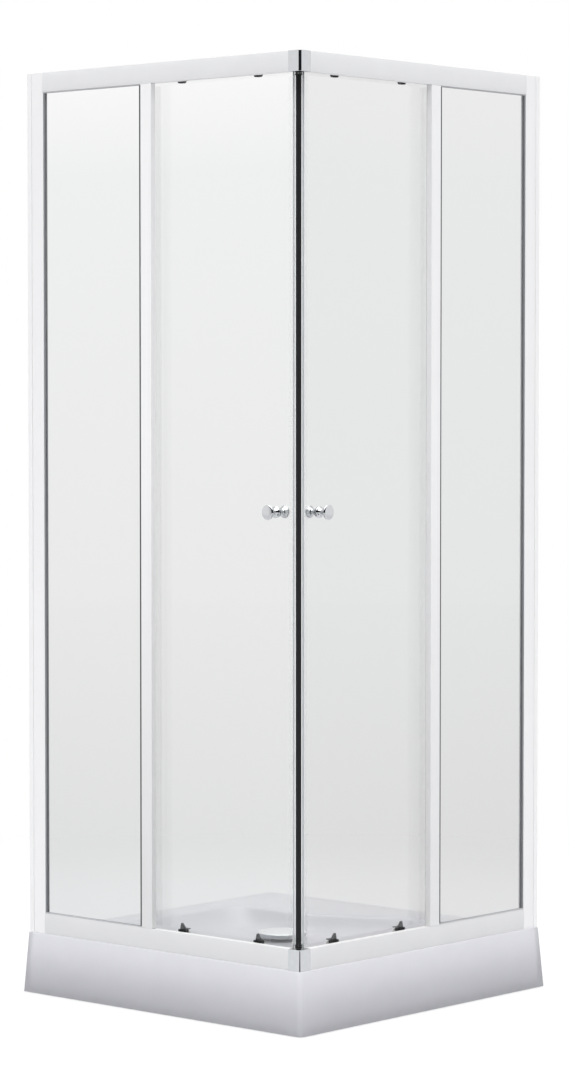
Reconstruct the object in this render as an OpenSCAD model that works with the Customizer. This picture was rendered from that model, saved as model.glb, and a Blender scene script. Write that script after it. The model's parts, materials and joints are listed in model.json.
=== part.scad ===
// Corner shower cabin: a low tray with two skirts, two glass faces that meet at
// an open corner, and two sliding doors that close on each other with magnets.
// The origin is the middle of the tray on the floor, +Z is up. The front face
// looks along -Y, the side face along +X, and the room walls are at -X and +Y.
// The side face is the front face mirrored about the diagonal of the tray.

/* [Cabin] */
// Side of the square tray, measured along the floor
tray_side = 800; // [760:1:1000]
// Height of the tray rim above the floor
rim_h = 130; // [125:1:200]
// Height of the glass enclosure above the rim
frame_h = 1850; // [1600:1:2000]
// How far the skirts spread beyond the enclosure at the floor
skirt_flare = 18; // [10:1:30]

/* [Tray] */
// Thickness of the tray shell
shell_t = 4; // [3:0.5:6]
// Depth of the basin floor under the rim
basin_depth = 40; // [25:1:45]
// Width of the rim beside the basin on the left, front and right
rim_w = 74; // [62:1:95]
// Extra width of the raised shelf at the back left of the basin
shelf_w = 128; // [90:1:150]
// Length of the shelf along the back wall
shelf_l = 205; // [150:1:300]
// Length of the slanted edge where the shelf runs out
shelf_run = 250; // [150:1:280]
// Radius of the basin corners in plan
basin_r = 42; // [20:1:60]
// Size of the basin floor as a share of its mouth
floor_share = 0.78; // [0.7:0.01:0.9]
// Rounding of the front vertical corner of the skirt
skirt_r = 12; // [6:1:25]
// Reach of the tray edge past the enclosure at rim level
rim_lip = 2; // [1:0.5:4]
// Gap between the skirt and the floor
skirt_gap = 2; // [1:0.5:6]
// Depth of the turned down edges at the two walls
wall_edge_h = 30; // [20:1:40]
// Distance of the drain from the tray middle along X and Y
drain_off = 85; // [60:1:110]

/* [Support] */
// Thickness of the board under the basin floor
board_t = 12; // [6:1:14]
// Length of the board along X
board_x = 450; // [400:1:480]
// Length of the board along Y
board_y = 380; // [360:1:400]
// Side of the square support tubes
bar_w = 25; // [20:1:30]
// Wall of the support tubes
bar_t = 2; // [1.5:0.5:3]
// Length of the support tubes
bar_l = 640; // [560:1:680]
// Distance between neighbouring support tubes
bar_pitch = 170; // [150:1:180]
// Space between the trap collar and the rear support tube
bar_clear = 4; // [2:1:10]
// Radius of the threaded foot rods
rod_r = 6; // [4:0.5:8]
// Distance of the foot rods from the tube ends
rod_in = 30; // [20:1:60]
// Radius of the foot pads
pad_r = 22; // [16:1:30]
// Thickness of the foot pads
pad_t = 10; // [6:1:14]
// Thickness of the foot nuts
nut_t = 8; // [5:0.5:9]

/* [Waste] */
// Radius of the hole in the basin floor
waste_r = 30; // [26:1:34]
// Radius of the waste flange and of the trap collar
flange_r = 44; // [40:1:48]
// Thickness of the waste flange
flange_t = 2.5; // [2:0.5:4]
// Thickness of the rubber ring under the basin floor
ring_t = 3; // [2:0.5:4]
// Wall of the waste tube, the trap and the outlet pipe
waste_wall = 3; // [2:0.5:4]
// Height of the trap cup
trap_h = 58; // [50:1:60]
// Outer radius of the outlet pipe
outlet_r = 20; // [16:1:20]
// Length of the outlet pipe past the union nut
outlet_l = 120; // [60:1:140]
// Length of the union nut
union_l = 24; // [16:1:30]
// Radius of the drain cover
cover_r = 52; // [46:1:56]
// Height of the drain cover over the basin floor
cover_h = 22; // [18:1:26]

/* [Rails] */
// Height of the top rail
top_rail_h = 42; // [40:1:50]
// Height of the bottom rail
bottom_rail_h = 44; // [40:1:50]
// Depth of both rails from the outer face
rail_depth = 55; // [55:1:65]
// Wall of the rails and posts
rail_wall = 1.8; // [1.5:0.1:2]
// Thickness of the rail floor and roof
rail_base = 3; // [2:0.5:4]
// Width of the corner joints on each face
cap_w = 32; // [30:1:40]
// Thickness of the corner joint legs
cap_t = 8; // [6:0.5:10]
// Rounding of the corner joint edge
cap_r = 5; // [2:0.5:5]
// Length of the tongues that join the rails
tongue_l = 24; // [18:1:30]
// Height of the guide rib above the ledge of the top rail
top_rib_h = 2; // [1:0.5:2]
// Thickness of the guide ribs that the wheels run on
rib_t = 2; // [1.5:0.1:2.2]

/* [Posts and fixed panes] */
// Width of the wall channel flange that shows
channel_w = 12; // [8:1:16]
// Depth of the wall channel
channel_depth = 30; // [26:1:34]
// Distance from the wall to the visible edge of the post
post_w = 46; // [44:1:60]
// Thickness of the fixed panes and the door panes
glass_t = 5; // [4:0.5:6]
// Distance of the fixed panes behind the outer face
pane_in = 5; // [4.5:0.5:6]
// Distance from the wall to the upright at the free edge of the fixed pane
stile_s = 337; // [320:1:360]
// Width of that upright
stile_w = 30; // [26:1:34]
// Grip of the posts and uprights on the edges of the fixed pane
pane_grip = 15; // [12:1:16]
// Width of the dark gasket that shows beside a post or upright
gasket_show = 4; // [2:0.5:5]
// Width of the pale gasket that shows along the rails
bead_show = 2; // [1:0.5:3]
// Radius of the wall fixing holes in the wall channels
fix_r = 2.5; // [2:0.25:3]
// Height of the lowest wall fixing hole above the rim
fix_low = 200; // [120:1:300]
// Distance between the wall fixing holes of a pair
fix_pitch = 1450; // [1200:1:1500]

/* [Doors] */
// Distance of the door panes behind the outer face
door_in = 30; // [28:0.5:30]
// Overlap of the door pane with the fixed upright
door_lap = 22; // [18:1:26]
// Distance from the leading edge of the door pane to the corner
door_corner = 46; // [45:1:60]
// Travel of the doors towards the walls
door_travel = 300; // [280:1:300]
// Width of the profile on the trailing edge of the door
trail_w = 24; // [20:1:26]
// Width of the clip on the leading edge of the door
clip_w = 12; // [8:1:24]
// Wall of the clip on profiles
clip_t = 1.5; // [1:0.1:2]
// Thickness of a magnet strip
magnet_t = 5.4; // [4:0.1:5.5]
// Width of a magnet strip along the diagonal
magnet_w = 12; // [8:0.5:14]
// Gap between the door profiles and the rails
profile_gap = 4; // [3:0.5:6]

/* [Knobs] */
// Distance of the knobs from the leading edge of the door pane
knob_s = 45; // [35:1:55]
// Height of the knobs above the rim
knob_z = 925; // [700:1:1100]
// Largest radius of the outer knob
knob_r = 15.5; // [14:0.5:18]
// Length of the outer knob
knob_l = 28; // [20:0.5:28]
// Largest radius of the inner knob
inner_knob_r = 13; // [11:0.5:16]
// Length of the inner knob
inner_knob_l = 24; // [18:0.5:30]
// Radius of the stud through the door pane
stud_r = 3; // [2:0.5:4]
// Thickness of the washers beside the door pane
washer_t = 0.8; // [0.5:0.1:1.5]

/* [Rollers] */
// Distance of the rear rollers from the trailing edge of the door pane
roller_back = 78; // [70:1:90]
// Distance of the front rollers from the leading edge of the door pane
roller_front = 100; // [80:1:120]
// Radius of the wheels where they run on the rib
wheel_r = 9; // [8:0.5:9]
// Height of the wheel flanges over the rib
wheel_flange = 2; // [1.5:0.25:2]
// Width of the wheels
wheel_w = 7; // [6:0.5:7]
// Radius of the wheel axles
axle_r = 2.5; // [2:0.25:3]
// Width of the top roller blocks
block_w = 18; // [16:1:30]
// Thickness of the top roller blocks
block_t = 7.7; // [6:0.1:7.7]
// Reach of the top roller blocks below the rail
block_show = 1.5; // [1:0.5:8]
// Width of the bottom roller brackets
bracket_w = 22; // [22:1:34]
// Height of the finger tabs over the bottom of the enclosure
tab_top = 58; // [55:1:62]
// Thickness of the finger tabs
tab_t = 4; // [3:0.5:5]
// Travel of the finger tabs when a roller is released
release = 6; // [4:0.5:6]

/* [Hidden] */
$fn = 48;

// Clearances
run_gap = 0.05; // shaft in its bore
gap = 0.3; // between parts that move past each other
eps = 0.01; // overlap of solids that are fused

half = tray_side / 2;
face_w = tray_side - skirt_flare; // from a wall to the corner of the enclosure
post_step = 2; // the post face lies this far behind the channel face
post_deep_s = 34; // end of the deep part of the post
top_z = frame_h - top_rail_h; // lower edge of the top rail
bead_t = pane_in - rail_wall; // thickness of the gaskets in the rails
groove_in = pane_in + glass_t + bead_t; // far side of the rail groove
pane_foot = 17; // lower edge of the fixed pane
pane_head = top_z + 22; // upper edge of the fixed pane
stile_end = stile_s + stile_w;

// Door edges and heights, from the wall along the face and from the rim up
door_s0 = stile_end - door_lap;
door_s1 = face_w - door_corner;
door_back = door_in + glass_t;
door_foot = rail_base + 3;
block_d1 = door_back + block_t;
top_wheel_d = block_d1 + 0.4; // outer side of the top wheels
top_rib_d = top_wheel_d + wheel_w / 2;
ledge_z = 12; // underside of the ledge over the lower edge of the top rail
ledge_t = 2;
top_rib_z = top_z + ledge_z + ledge_t + top_rib_h;
top_wheel_z = top_rib_z + gap + wheel_r;
door_head = top_wheel_z + 10;
bracket_t = 2.5; // plate of the bottom roller bracket
plate_d0 = door_back + bracket_t + gap; // carriage plate
plate_t = 7;
low_wheel_d = plate_d0 + plate_t + 0.4;
low_rib_d = low_wheel_d + wheel_w / 2;
low_rib_z = 22;
low_wheel_z = low_rib_z + gap + wheel_r;
flange_out = wheel_r + wheel_flange;
groove_w = rib_t + 0.8; // groove of the wheels
roller_s = [door_s0 + roller_back, door_s1 - roller_front];
knob_pos = door_s1 - knob_s;

// Heights in the tray
floor_z = rim_h - basin_depth; // top of the basin floor
under_z = floor_z - shell_t; // underside of the basin floor
bar_z = under_z - board_t - bar_w;
waste_x = -drain_off;
waste_y = drain_off;
bar_back = waste_y + flange_r + bar_clear + bar_w / 2; // Y of the rear tube
bar_y = [bar_back, bar_back - bar_pitch, bar_back - 2 * bar_pitch];
rod_x = bar_l / 2 - rod_in;
trap_top = under_z - ring_t;
trap_z0 = trap_top - trap_h;
outlet_z = trap_z0 + outlet_r + 3;

// Places a front face part: X from the wall along the face, Y from the outer
// face inwards, Z up from the rim
module front() {
  translate([-half, skirt_flare - half, rim_h]) children();
}

// The same for the side face
module side() {
  mirror([1, 1, 0]) front() children();
}

// A block between two corners
module block(s0, s1, d0, d1, z0, z1) {
  translate([s0, d0, z0]) cube([s1 - s0, d1 - d0, z1 - z0]);
}

// A round bar square to the face, from depth d0 to d1
module bar_in(s, z, d0, d1, r) {
  translate([s, d0, z]) rotate([-90, 0, 0]) cylinder(h = d1 - d0, r = r);
}

// A section in depth and height, drawn out along the face
module along(s0, s1) {
  translate([s0, 0, 0]) rotate([90, 0, 90]) linear_extrude(height = s1 - s0) children();
}

// A rectangle between two corners
module rect(x0, x1, y0, y1) {
  translate([x0, y0]) square([x1 - x0, y1 - y0]);
}

// A section in length and depth, drawn up between two heights
module upright(z0, z1) {
  translate([0, 0, z0]) linear_extrude(height = z1 - z0) children();
}

// Points of a corner at b, between a and c, rounded with radius r
function corner_arc(a, b, c, r, n) =
  let(
    u = (a - b) / norm(a - b), v = (c - b) / norm(c - b),
    turn = acos(u * v) / 2, mid = b + (u + v) / norm(u + v) * r / sin(turn),
    p = b + u * r / tan(turn) - mid, q = b + v * r / tan(turn) - mid,
    a0 = atan2(p.y, p.x), raw = atan2(q.y, q.x) - a0,
    sweep = raw > 180 ? raw - 360 : raw < -180 ? raw + 360 : raw
  )
  r == 0 ? [b] : [for (k = [0:n]) mid + r * [cos(a0 + sweep * k / n), sin(a0 + sweep * k / n)]];

// Outline with rounded corners: each corner has its own radius, or none
function rounded(pts, radii, n = 8) =
  let(m = len(pts))
  [for (i = [0:m - 1]) each corner_arc(pts[(i + m - 1) % m], pts[i], pts[(i + 1) % m], radii[i], n)];

// Solid that runs from ring to ring, from the lowest up: all have as many points
module loft(outlines, heights) {
  n = len(outlines[0]);
  top = len(outlines) - 1;
  polyhedron(
    points = [for (i = [0:top]) for (p = outlines[i]) [p.x, p.y, heights[i]]],
    faces = concat(
      [[for (k = [0:n - 1]) k]],
      [for (i = [0:top - 1]) for (k = [0:n - 1])
        [i * n + k, (i + 1) * n + k, (i + 1) * n + (k + 1) % n, i * n + (k + 1) % n]],
      [[for (k = [n - 1:-1:0]) top * n + k]]
    )
  );
}

// Plan of the tray with only its free corner rounded: edge is the reach of the
// two free sides, back the reach of the two wall sides
function tray_plan(edge, back) =
  rounded([[-back, -edge], [edge, -edge], [edge, back], [-back, back]], [0, skirt_r, 0, 0]);

// Block of the tray, spreading from the rim down to the floor
module tray_body(inset, z0, z1) {
  foot = tray_plan(half - inset, half - inset);
  rim = tray_plan(half - skirt_flare + rim_lip - inset, half - inset);
  loft([foot, rim], [z0, z1]);
}

// Plan of the basin mouth: a rounded square with a shelf at its back left
function basin_plan(grow) =
  let(
    x0 = rim_w - half - grow, x1 = half - skirt_flare - rim_w + grow, y1 = half - rim_w + grow,
    shelf_x = rim_w - half + shelf_l - grow * tan(atan2(shelf_w, shelf_run) / 2)
  )
  rounded([
    [x0, -x1], [x1, -x1], [x1, y1], [shelf_x + shelf_run, y1], [shelf_x, y1 - shelf_w],
    [x0, y1 - shelf_w]
  ], [basin_r, basin_r, basin_r, 2 * basin_r, 2 * basin_r, basin_r]);

// Basin hollow: each step draws in as much as the last and falls a little less,
// so the walls run softly into the floor
module basin_hollow(grow, depth) {
  steps = 6;
  plan = basin_plan(grow);
  shares = [for (i = [0:steps]) 1 - (1 - floor_share) * (1 - i / steps)];
  loft(
    concat([for (k = shares) k * plan], [plan]),
    concat([for (i = [0:steps]) rim_h - depth * sin(90 * (1 - i / steps))], [rim_h + 1])
  );
}

// Underside of the basin, up to the middle of the rim plate
module basin_shell() {
  intersection() {
    basin_hollow(shell_t, basin_depth + shell_t);
    translate([-half, -half, 0]) cube([tray_side, tray_side, rim_h - shell_t / 2]);
  }
}

// Space under the turned down edge at one wall, clear of the skirt ends
module wall_edge_cut() {
  skirt_in = skirt_flare + 2 * shell_t;
  translate([-half - 1, skirt_in - half, 0])
    cube([shell_t + 3, 2 * half - skirt_in + 1, rim_h - wall_edge_h]);
}

module shower_tray() {
  color("#f1f1f3") difference() {
    union() {
      difference() {
        tray_body(0, skirt_gap, rim_h);
        tray_body(shell_t, skirt_gap - 1, rim_h - shell_t);
        wall_edge_cut();
        mirror([1, 1, 0]) wall_edge_cut();
      }
      basin_shell();
    }
    basin_hollow(0, basin_depth);
    translate([waste_x, waste_y, under_z - 1]) cylinder(h = shell_t + 2, r = waste_r);
  }
}

module tray_board() {
  color("#b9a27c") difference() {
    translate([-board_x / 2, bar_y[1] - board_y / 2, under_z - board_t])
      cube([board_x, board_y, board_t]);
    translate([waste_x, waste_y, under_z - board_t - 1])
      cylinder(h = board_t + 2, r = flange_r + 2);
  }
}

module support_bars() {
  color("#8d9196") for (y = bar_y) difference() {
    translate([-bar_l / 2, y - bar_w / 2, bar_z]) cube([bar_l, bar_w, bar_w]);
    translate([-bar_l / 2 - 1, y - bar_w / 2 + bar_t, bar_z + bar_t])
      cube([bar_l + 2, bar_w - 2 * bar_t, bar_w - 2 * bar_t]);
    for (x = [-rod_x, rod_x])
      translate([x, y, bar_z - 1]) cylinder(h = bar_w + 2, r = rod_r + gap);
  }
}

// Repeats a foot part under both ends of each support tube
module at_feet() {
  for (x = [-rod_x, rod_x]) for (y = bar_y) translate([x, y, 0]) children();
}

module foot_rods() {
  rod_z0 = pad_t / 2;
  rod_top = bar_z + bar_w + nut_t + 3;
  color("#9ea2a6") at_feet() translate([0, 0, rod_z0]) cylinder(h = rod_top - rod_z0, r = rod_r);
}

module foot_pads() {
  color("#2b2c2e") at_feet() difference() {
    union() {
      cylinder(h = pad_t * 0.6, r = pad_r);
      cylinder(h = pad_t, r = pad_r * 0.6);
    }
    translate([0, 0, pad_t / 2]) cylinder(h = pad_t, r = rod_r + run_gap);
  }
}

module foot_nuts() {
  color("#a9adb1") at_feet() for (z = [bar_z - nut_t, bar_z + bar_w])
    translate([0, 0, z]) difference() {
      cylinder(h = nut_t, r = rod_r * 1.8, $fn = 6);
      translate([0, 0, -1]) cylinder(h = nut_t + 2, r = rod_r + run_gap);
    }
}

tube_out = waste_r - 0.5; // waste tube
tube_in = tube_out - waste_wall;
cup_r = flange_r - 3; // trap cup
stub_x = waste_x - cup_r - 16; // end of the trap stub

// Places a waste part over the drain
module at_waste(z) {
  translate([waste_x, waste_y, z]) children();
}

// A pipe along X between two places, at the outlet height
module outlet_tube(x0, x1, r_out, r_in) {
  translate([x0, waste_y, outlet_z]) rotate([0, 90, 0]) difference() {
    cylinder(h = x1 - x0, r = r_out);
    translate([0, 0, -1]) cylinder(h = x1 - x0 + 2, r = r_in);
  }
}

module waste_flange() {
  tube_l = under_z - trap_top + shell_t + 16;
  color("#d9dbde") at_waste(floor_z) rotate_extrude() {
    rect(tube_in, flange_r, 0, flange_t);
    rect(tube_in, tube_out, -tube_l, flange_t);
  }
}

module waste_gasket() {
  color("#3a3b3d") at_waste(trap_top) rotate_extrude()
    rect(tube_out + run_gap, flange_r - 2, 0, ring_t);
}

module trap_body() {
  color("#e4e5e7") difference() {
    union() {
      at_waste(trap_z0) rotate_extrude() {
        rect(0, cup_r, 0, waste_wall);
        rect(cup_r - waste_wall, cup_r, 0, trap_h);
        rect(tube_out + run_gap, flange_r, trap_h - 6, trap_h);
      }
      outlet_tube(stub_x, waste_x - cup_r + 1, outlet_r, outlet_r - waste_wall);
    }
    translate([waste_x - cup_r - 1, waste_y, outlet_z]) rotate([0, 90, 0])
      cylinder(h = waste_wall + 3, r = outlet_r - waste_wall);
  }
}

module trap_nut() {
  color("#d2d4d6")
    outlet_tube(stub_x - union_l / 2, stub_x + union_l / 2 - 3, outlet_r + 5, outlet_r + run_gap);
}

// Outlet pipe: its end is drawn in slightly where the union nut grips it
module outlet_pipe() {
  nut_x = stub_x - union_l / 2;
  color("#e4e5e7") {
    outlet_tube(nut_x - outlet_l, nut_x, outlet_r, outlet_r - waste_wall);
    outlet_tube(nut_x - eps, stub_x - run_gap, outlet_r - gap, outlet_r - waste_wall);
  }
}

module drain_cover() {
  stem_r = tube_in - 2;
  skin = 2.5;
  edge_z = cover_h / 2;
  color("#d4d7da") at_waste(floor_z) {
    rotate_extrude() {
      polygon([
        [0, cover_h], [cover_r * 0.55, cover_h * 0.98], [cover_r * 0.82, cover_h * 0.93],
        [cover_r * 0.94, cover_h * 0.86], [cover_r, cover_h * 0.74], [cover_r, edge_z - skin],
        [cover_r - skin, edge_z - skin], [cover_r - skin, cover_h * 0.7], [cover_r * 0.8, cover_h * 0.78],
        [0, cover_h - 2 * skin]
      ]);
      rect(stem_r - skin, stem_r, -cover_h, cover_h * 0.85);
    }
    for (a = [0:90:270]) rotate(a)
      translate([stem_r - 1, -skin / 2, flange_t + gap])
        cube([flange_r - stem_r - 4, skin, cover_h * 0.85 - flange_t - gap]);
  }
}

// Wall channel: a U section with its back on the wall
module channel() {
  base = rail_wall;
  difference() {
    upright(0, frame_h) {
      rect(0, base, 0, channel_depth);
      rect(0, channel_w, 0, base);
      rect(0, channel_w * 2, channel_depth - base, channel_depth);
    }
    for (z = [fix_low, fix_low + fix_pitch])
      translate([-1, channel_depth / 2, z]) rotate([0, 90, 0]) cylinder(h = base + 2, r = fix_r);
    for (z = channel_screw_z)
      bar_in(screw_s, z, channel_depth - base - 1, channel_depth + 1, screw_r + run_gap);
  }
}

screw_r = 2;
screw_head = 2.5;
screw_s = channel_w + 6; // screws between channel and post, from the wall
channel_screw_z = [frame_h * 0.16, frame_h * 0.5, frame_h * 0.84];
rail_screw_s = post_w - 7; // screws between post and rails
corner_screw_s = face_w - cap_w - tongue_l / 2; // screws at the corner joints
rail_screw_z = [9.5, top_z + 32];
corner_screw_z = [bottom_rail_h / 2, top_z + top_rail_h / 2];

module wall_channel_front() {
  color("#eceef0") front() channel();
}

module wall_channel_side() {
  color("#eceef0") side() channel();
}

// Post that slides in the wall channel and grips the fixed pane
module post() {
  t = rail_wall;
  s0 = rail_wall * 2 + 2;
  d1 = channel_depth - rail_wall - gap; // inner face of the deep part
  web = post_w - pane_grip - 1;
  difference() {
    upright(0, frame_h) {
      rect(s0, s0 + t, post_step, d1);
      rect(s0, post_w, post_step, post_step + t);
      rect(s0, post_deep_s, d1 - t, d1);
      rect(post_deep_s - t, post_deep_s, groove_in, d1);
      rect(web - t, web, post_step, groove_in + t);
      rect(web - t, post_w, groove_in, groove_in + t);
    }
    for (z = channel_screw_z) bar_in(screw_s, z, d1 - t - 1, d1 + 1, screw_r + run_gap);
    for (z = rail_screw_z)
      bar_in(rail_screw_s, z, groove_in - 1, groove_in + t + 1, screw_r + run_gap);
  }
}

module side_posts() {
  color("#f2f3f4") {
    front() post();
    side() post();
  }
}

// A pan head screw driven in from the inside, its head resting at depth d
module pan_screw(s, z, d, l) {
  bar_in(s, z, d - l, d + 1, screw_r);
  bar_in(s, z, d, d + screw_head, screw_r * 2);
}

module frame_screws() {
  color("#c9ccd0") for (m = [0, 1]) mirror([m, m, 0]) front() {
    for (z = channel_screw_z) pan_screw(screw_s, z, channel_depth, 10);
    for (z = rail_screw_z) pan_screw(rail_screw_s, z, groove_in + rail_wall, 9);
    for (z = corner_screw_z) pan_screw(corner_screw_s, z, groove_in + rail_wall, 11);
  }
}

// Cuts a rail off along the diagonal and leaves room for the corner joint
module corner_cut() {
  mitre = face_w - 0.1;
  upright(-1, frame_h + 1) {
    polygon([[mitre, 0], [mitre + 99, 0], [mitre + 99, 99], [mitre - 99, 99]]);
    rect(face_w - cap_w, face_w + 1, -1, cap_w);
  }
}

// Solid tongue that carries a rail in the groove of the post
module post_tongue(z0, z1) {
  block(post_w - pane_grip, post_w + 1, post_step + rail_wall + 0.1, groove_in - 0.1, z0, z1);
  block(post_w, post_w + 20, rail_wall - eps, groove_in + eps, z0, z1);
}

module top_rail() {
  difference() {
    union() {
      translate([0, 0, top_z]) along(post_w, face_w) {
        rect(0, rail_wall, 0, top_rail_h);
        rect(0, rail_depth, top_rail_h - rail_base, top_rail_h);
        rect(groove_in, groove_in + rail_wall, 0, top_rail_h);
        rect(rail_depth - rail_wall, rail_depth, ledge_z, top_rail_h);
        rect(block_d1 + 1.3, rail_depth, ledge_z, ledge_z + ledge_t);
        translate([top_rib_d - rib_t / 2, ledge_z]) square([rib_t, ledge_t + top_rib_h]);
      }
      block(stile_end, face_w, rail_wall - eps, groove_in + eps, top_z, top_z + rail_base);
      post_tongue(rail_screw_z[1] - 6, rail_screw_z[1] + 6);
    }
    corner_cut();
    for (s = [rail_screw_s, corner_screw_s])
      bar_in(s, s < face_w / 2 ? rail_screw_z[1] : corner_screw_z[1],
             rail_wall + 1, groove_in + rail_wall + 1, screw_r + run_gap);
  }
}

module bottom_rail() {
  difference() {
    union() {
      along(post_w, face_w) {
        rect(0, rail_wall, 0, bottom_rail_h);
        rect(0, rail_depth, 0, rail_base);
        rect(groove_in, groove_in + rail_wall, 0, bottom_rail_h);
        rect(low_rib_d - rib_t / 2, low_rib_d + rib_t / 2, 0, low_rib_z);
        rect(rail_depth - rail_wall, rail_depth, 0, 8);
      }
      block(stile_end, face_w, rail_wall - eps, groove_in + eps,
            bottom_rail_h - rail_base, bottom_rail_h);
      post_tongue(rail_base, rail_screw_z[0] + 5);
    }
    corner_cut();
    for (s = [rail_screw_s, corner_screw_s])
      bar_in(s, s < face_w / 2 ? rail_screw_z[0] : corner_screw_z[0],
             rail_wall + 1, groove_in + rail_wall + 1, screw_r + run_gap);
  }
}

module top_rail_front() {
  color("#e9eaec") front() top_rail();
}

module top_rail_side() {
  color("#e9eaec") side() top_rail();
}

module bottom_rail_front() {
  color("#e9eaec") front() bottom_rail();
}

module bottom_rail_side() {
  color("#e9eaec") side() bottom_rail();
}

// Half of a corner joint: one leg with its tongue, for a rail of height h. The
// plate at lip_z carries a lip that closes the corner behind the magnets
module joint_half(h, tongue_z, lip_z) {
  inner = face_w - cap_w;
  lip_v = (cap_w / 2 - meet) * sqrt(2); // the lip starts in the middle of the plate
  upright(0, h) {
    rect(inner, face_w - cap_r, 0, cap_t);
    rect(inner + cap_t, face_w, cap_r, cap_t);
    translate([face_w - cap_r, cap_r]) circle(r = cap_r);
  }
  for (z = [0, h - rail_base]) block(inner, face_w - 1, cap_t - 1, cap_w, z, z + rail_base);
  upright(lip_z, lip_z + rail_base)
    diagonal_rect(magnet_u - clip_t, eps, lip_v, magnet_w / 2 + clip_t);
  difference() {
    block(inner - tongue_l, inner + 1, rail_wall + 0.1, cap_t, rail_base + 1, h - rail_base - 1);
    bar_in(corner_screw_s, tongue_z, 0, cap_t + 1, screw_r + run_gap);
  }
}

module top_corner_joint() {
  color("#c3c6ca") for (m = [0, 1]) mirror([m, m, 0]) front()
    translate([0, 0, top_z]) joint_half(top_rail_h, top_rail_h / 2, 0);
}

module bottom_corner_joint() {
  color("#c3c6ca") for (m = [0, 1]) mirror([m, m, 0]) front()
    joint_half(bottom_rail_h, bottom_rail_h / 2, bottom_rail_h - rail_base);
}

pane_s0 = post_w - pane_grip;
pane_s1 = stile_s + pane_grip;

module fixed_pane() {
  block(pane_s0, pane_s1, pane_in, pane_in + glass_t, pane_foot, pane_head);
}

module fixed_pane_front() {
  color("#dfe6e6", 0.35) front() fixed_pane();
}

module fixed_pane_side() {
  color("#dfe6e6", 0.35) side() fixed_pane();
}

stile_d0 = rail_wall - 1;
stile_d1 = groove_in + 1;

// Upright on the free edge of the fixed pane, with the fin that meets the door
module stile() {
  t = rail_wall;
  fin_s = door_s0;
  upright(bottom_rail_h, top_z) {
    rect(stile_s, stile_end, stile_d0, stile_d0 + t);
    rect(stile_s, stile_end, stile_d1 - t, stile_d1);
    rect(pane_s1 + 1, pane_s1 + 1 + t, stile_d0, stile_d1);
    rect(stile_end - t, stile_end, stile_d0, stile_d1);
    rect(fin_s, fin_s + 1.5, stile_d1 - eps, door_in - clip_t - 4);
  }
}

module fixed_stiles() {
  color("#f2f3f4") {
    front() stile();
    side() stile();
  }
}

// Gasket strips on both sides of the fixed pane
module gaskets() {
  pane_out = pane_in + glass_t;
  upright(pane_foot, pane_head) {
    rect(pane_s0, post_w + gasket_show, post_step + rail_wall, pane_in);
    rect(pane_s0, post_w + gasket_show, pane_out, groove_in);
  }
  upright(bottom_rail_h, top_z) {
    rect(stile_s - gasket_show, pane_s1, stile_d0 + rail_wall, pane_in);
    rect(stile_s - gasket_show, pane_s1, pane_out, stile_d1 - rail_wall);
  }
  for (z = [bottom_rail_h - 14, top_z - bead_show]) translate([0, 0, z])
    along(post_w + gasket_show + eps, stile_s - gasket_show - eps) {
      rect(rail_wall, pane_in, 0, 14 + bead_show);
      rect(pane_out, groove_in, 0, 14 + bead_show);
    }
}

module pane_gaskets() {
  color("#6f7274") {
    front() gaskets();
    side() gaskets();
  }
}

stop_gap = 0.5; // between an open door and its stop
stop_l = 16;
stop_nose = 6.4; // how far the stop reaches in front of the roller block

// Rubber stop in the top rail: its nose meets the rear roller block of an open
// door, and the rest keeps clear of the wheel behind the block
module rail_stop() {
  open_s = roller_s[0] - door_travel - stop_gap;
  nose_s = open_s - block_w / 2;
  body_s = min(nose_s, open_s - flange_out);
  s0 = body_s - stop_l;
  d0 = block_d1 - stop_nose;
  block(s0, body_s, d0, rail_depth - rail_wall, top_rib_z, frame_h - rail_base);
  block(s0, nose_s, d0, block_d1, top_rib_z, frame_h - rail_base);
}

module rail_stops() {
  color("#303133") {
    front() rail_stop();
    side() rail_stop();
  }
}

bolt_z = 17; // fixing bolts of the bottom roller brackets
nut_len = 4;

module door_pane() {
  difference() {
    block(door_s0, door_s1, door_in, door_back, door_foot, door_head);
    for (s = roller_s) {
      bar_in(s, top_wheel_z, door_in - 1, door_back + 1, axle_r + 0.5);
      bar_in(s, bolt_z, door_in - 1, door_back + 1, axle_r + 0.5);
    }
    bar_in(knob_pos, knob_z, door_in - 1, door_back + 1, stud_r + 1);
  }
}

module door_pane_front() {
  color("#e3eaea", 0.35) front() door_pane();
}

module door_pane_side() {
  color("#e3eaea", 0.35) side() door_pane();
}

profile_z0 = bottom_rail_h + profile_gap;
profile_z1 = top_z - profile_gap;
cap_gap = 0.5; // between the end caps of the magnets and the corner joints

// Clip on profile of the trailing edge, with the hook that meets the fin
module trailing_profile() {
  s0 = door_s0 - 3;
  s1 = s0 + trail_w;
  upright(profile_z0, profile_z1) {
    rect(s0, s1, door_in - clip_t, door_in);
    rect(s0, s1, door_back, door_back + clip_t);
    rect(s0, door_s0, door_in - clip_t, door_back + clip_t);
    rect(s0, s0 + 1.6, groove_in + rail_wall + 3, door_in);
  }
}

module trailing_profile_front() {
  color("#e8ebec", 0.7) front() trailing_profile();
}

module trailing_profile_side() {
  color("#e8ebec", 0.7) side() trailing_profile();
}

// The magnets meet on the diagonal, at this depth behind both faces
meet = (door_corner + door_in + glass_t / 2) / 2;
magnet_u = -gap / 2 - magnet_t; // back of a magnet, measured across the diagonal

// Plan point given across (u) and along (v) the diagonal
function diagonal_point(u, v) =
  [face_w - meet + (u - v) / sqrt(2), meet + (u + v) / sqrt(2)];

// A rectangle in plan, laid along the diagonal
module diagonal_rect(u0, u1, v0, v1) {
  polygon([
    diagonal_point(u0, v0), diagonal_point(u1, v0), diagonal_point(u1, v1),
    diagonal_point(u0, v1)
  ]);
}

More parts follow.
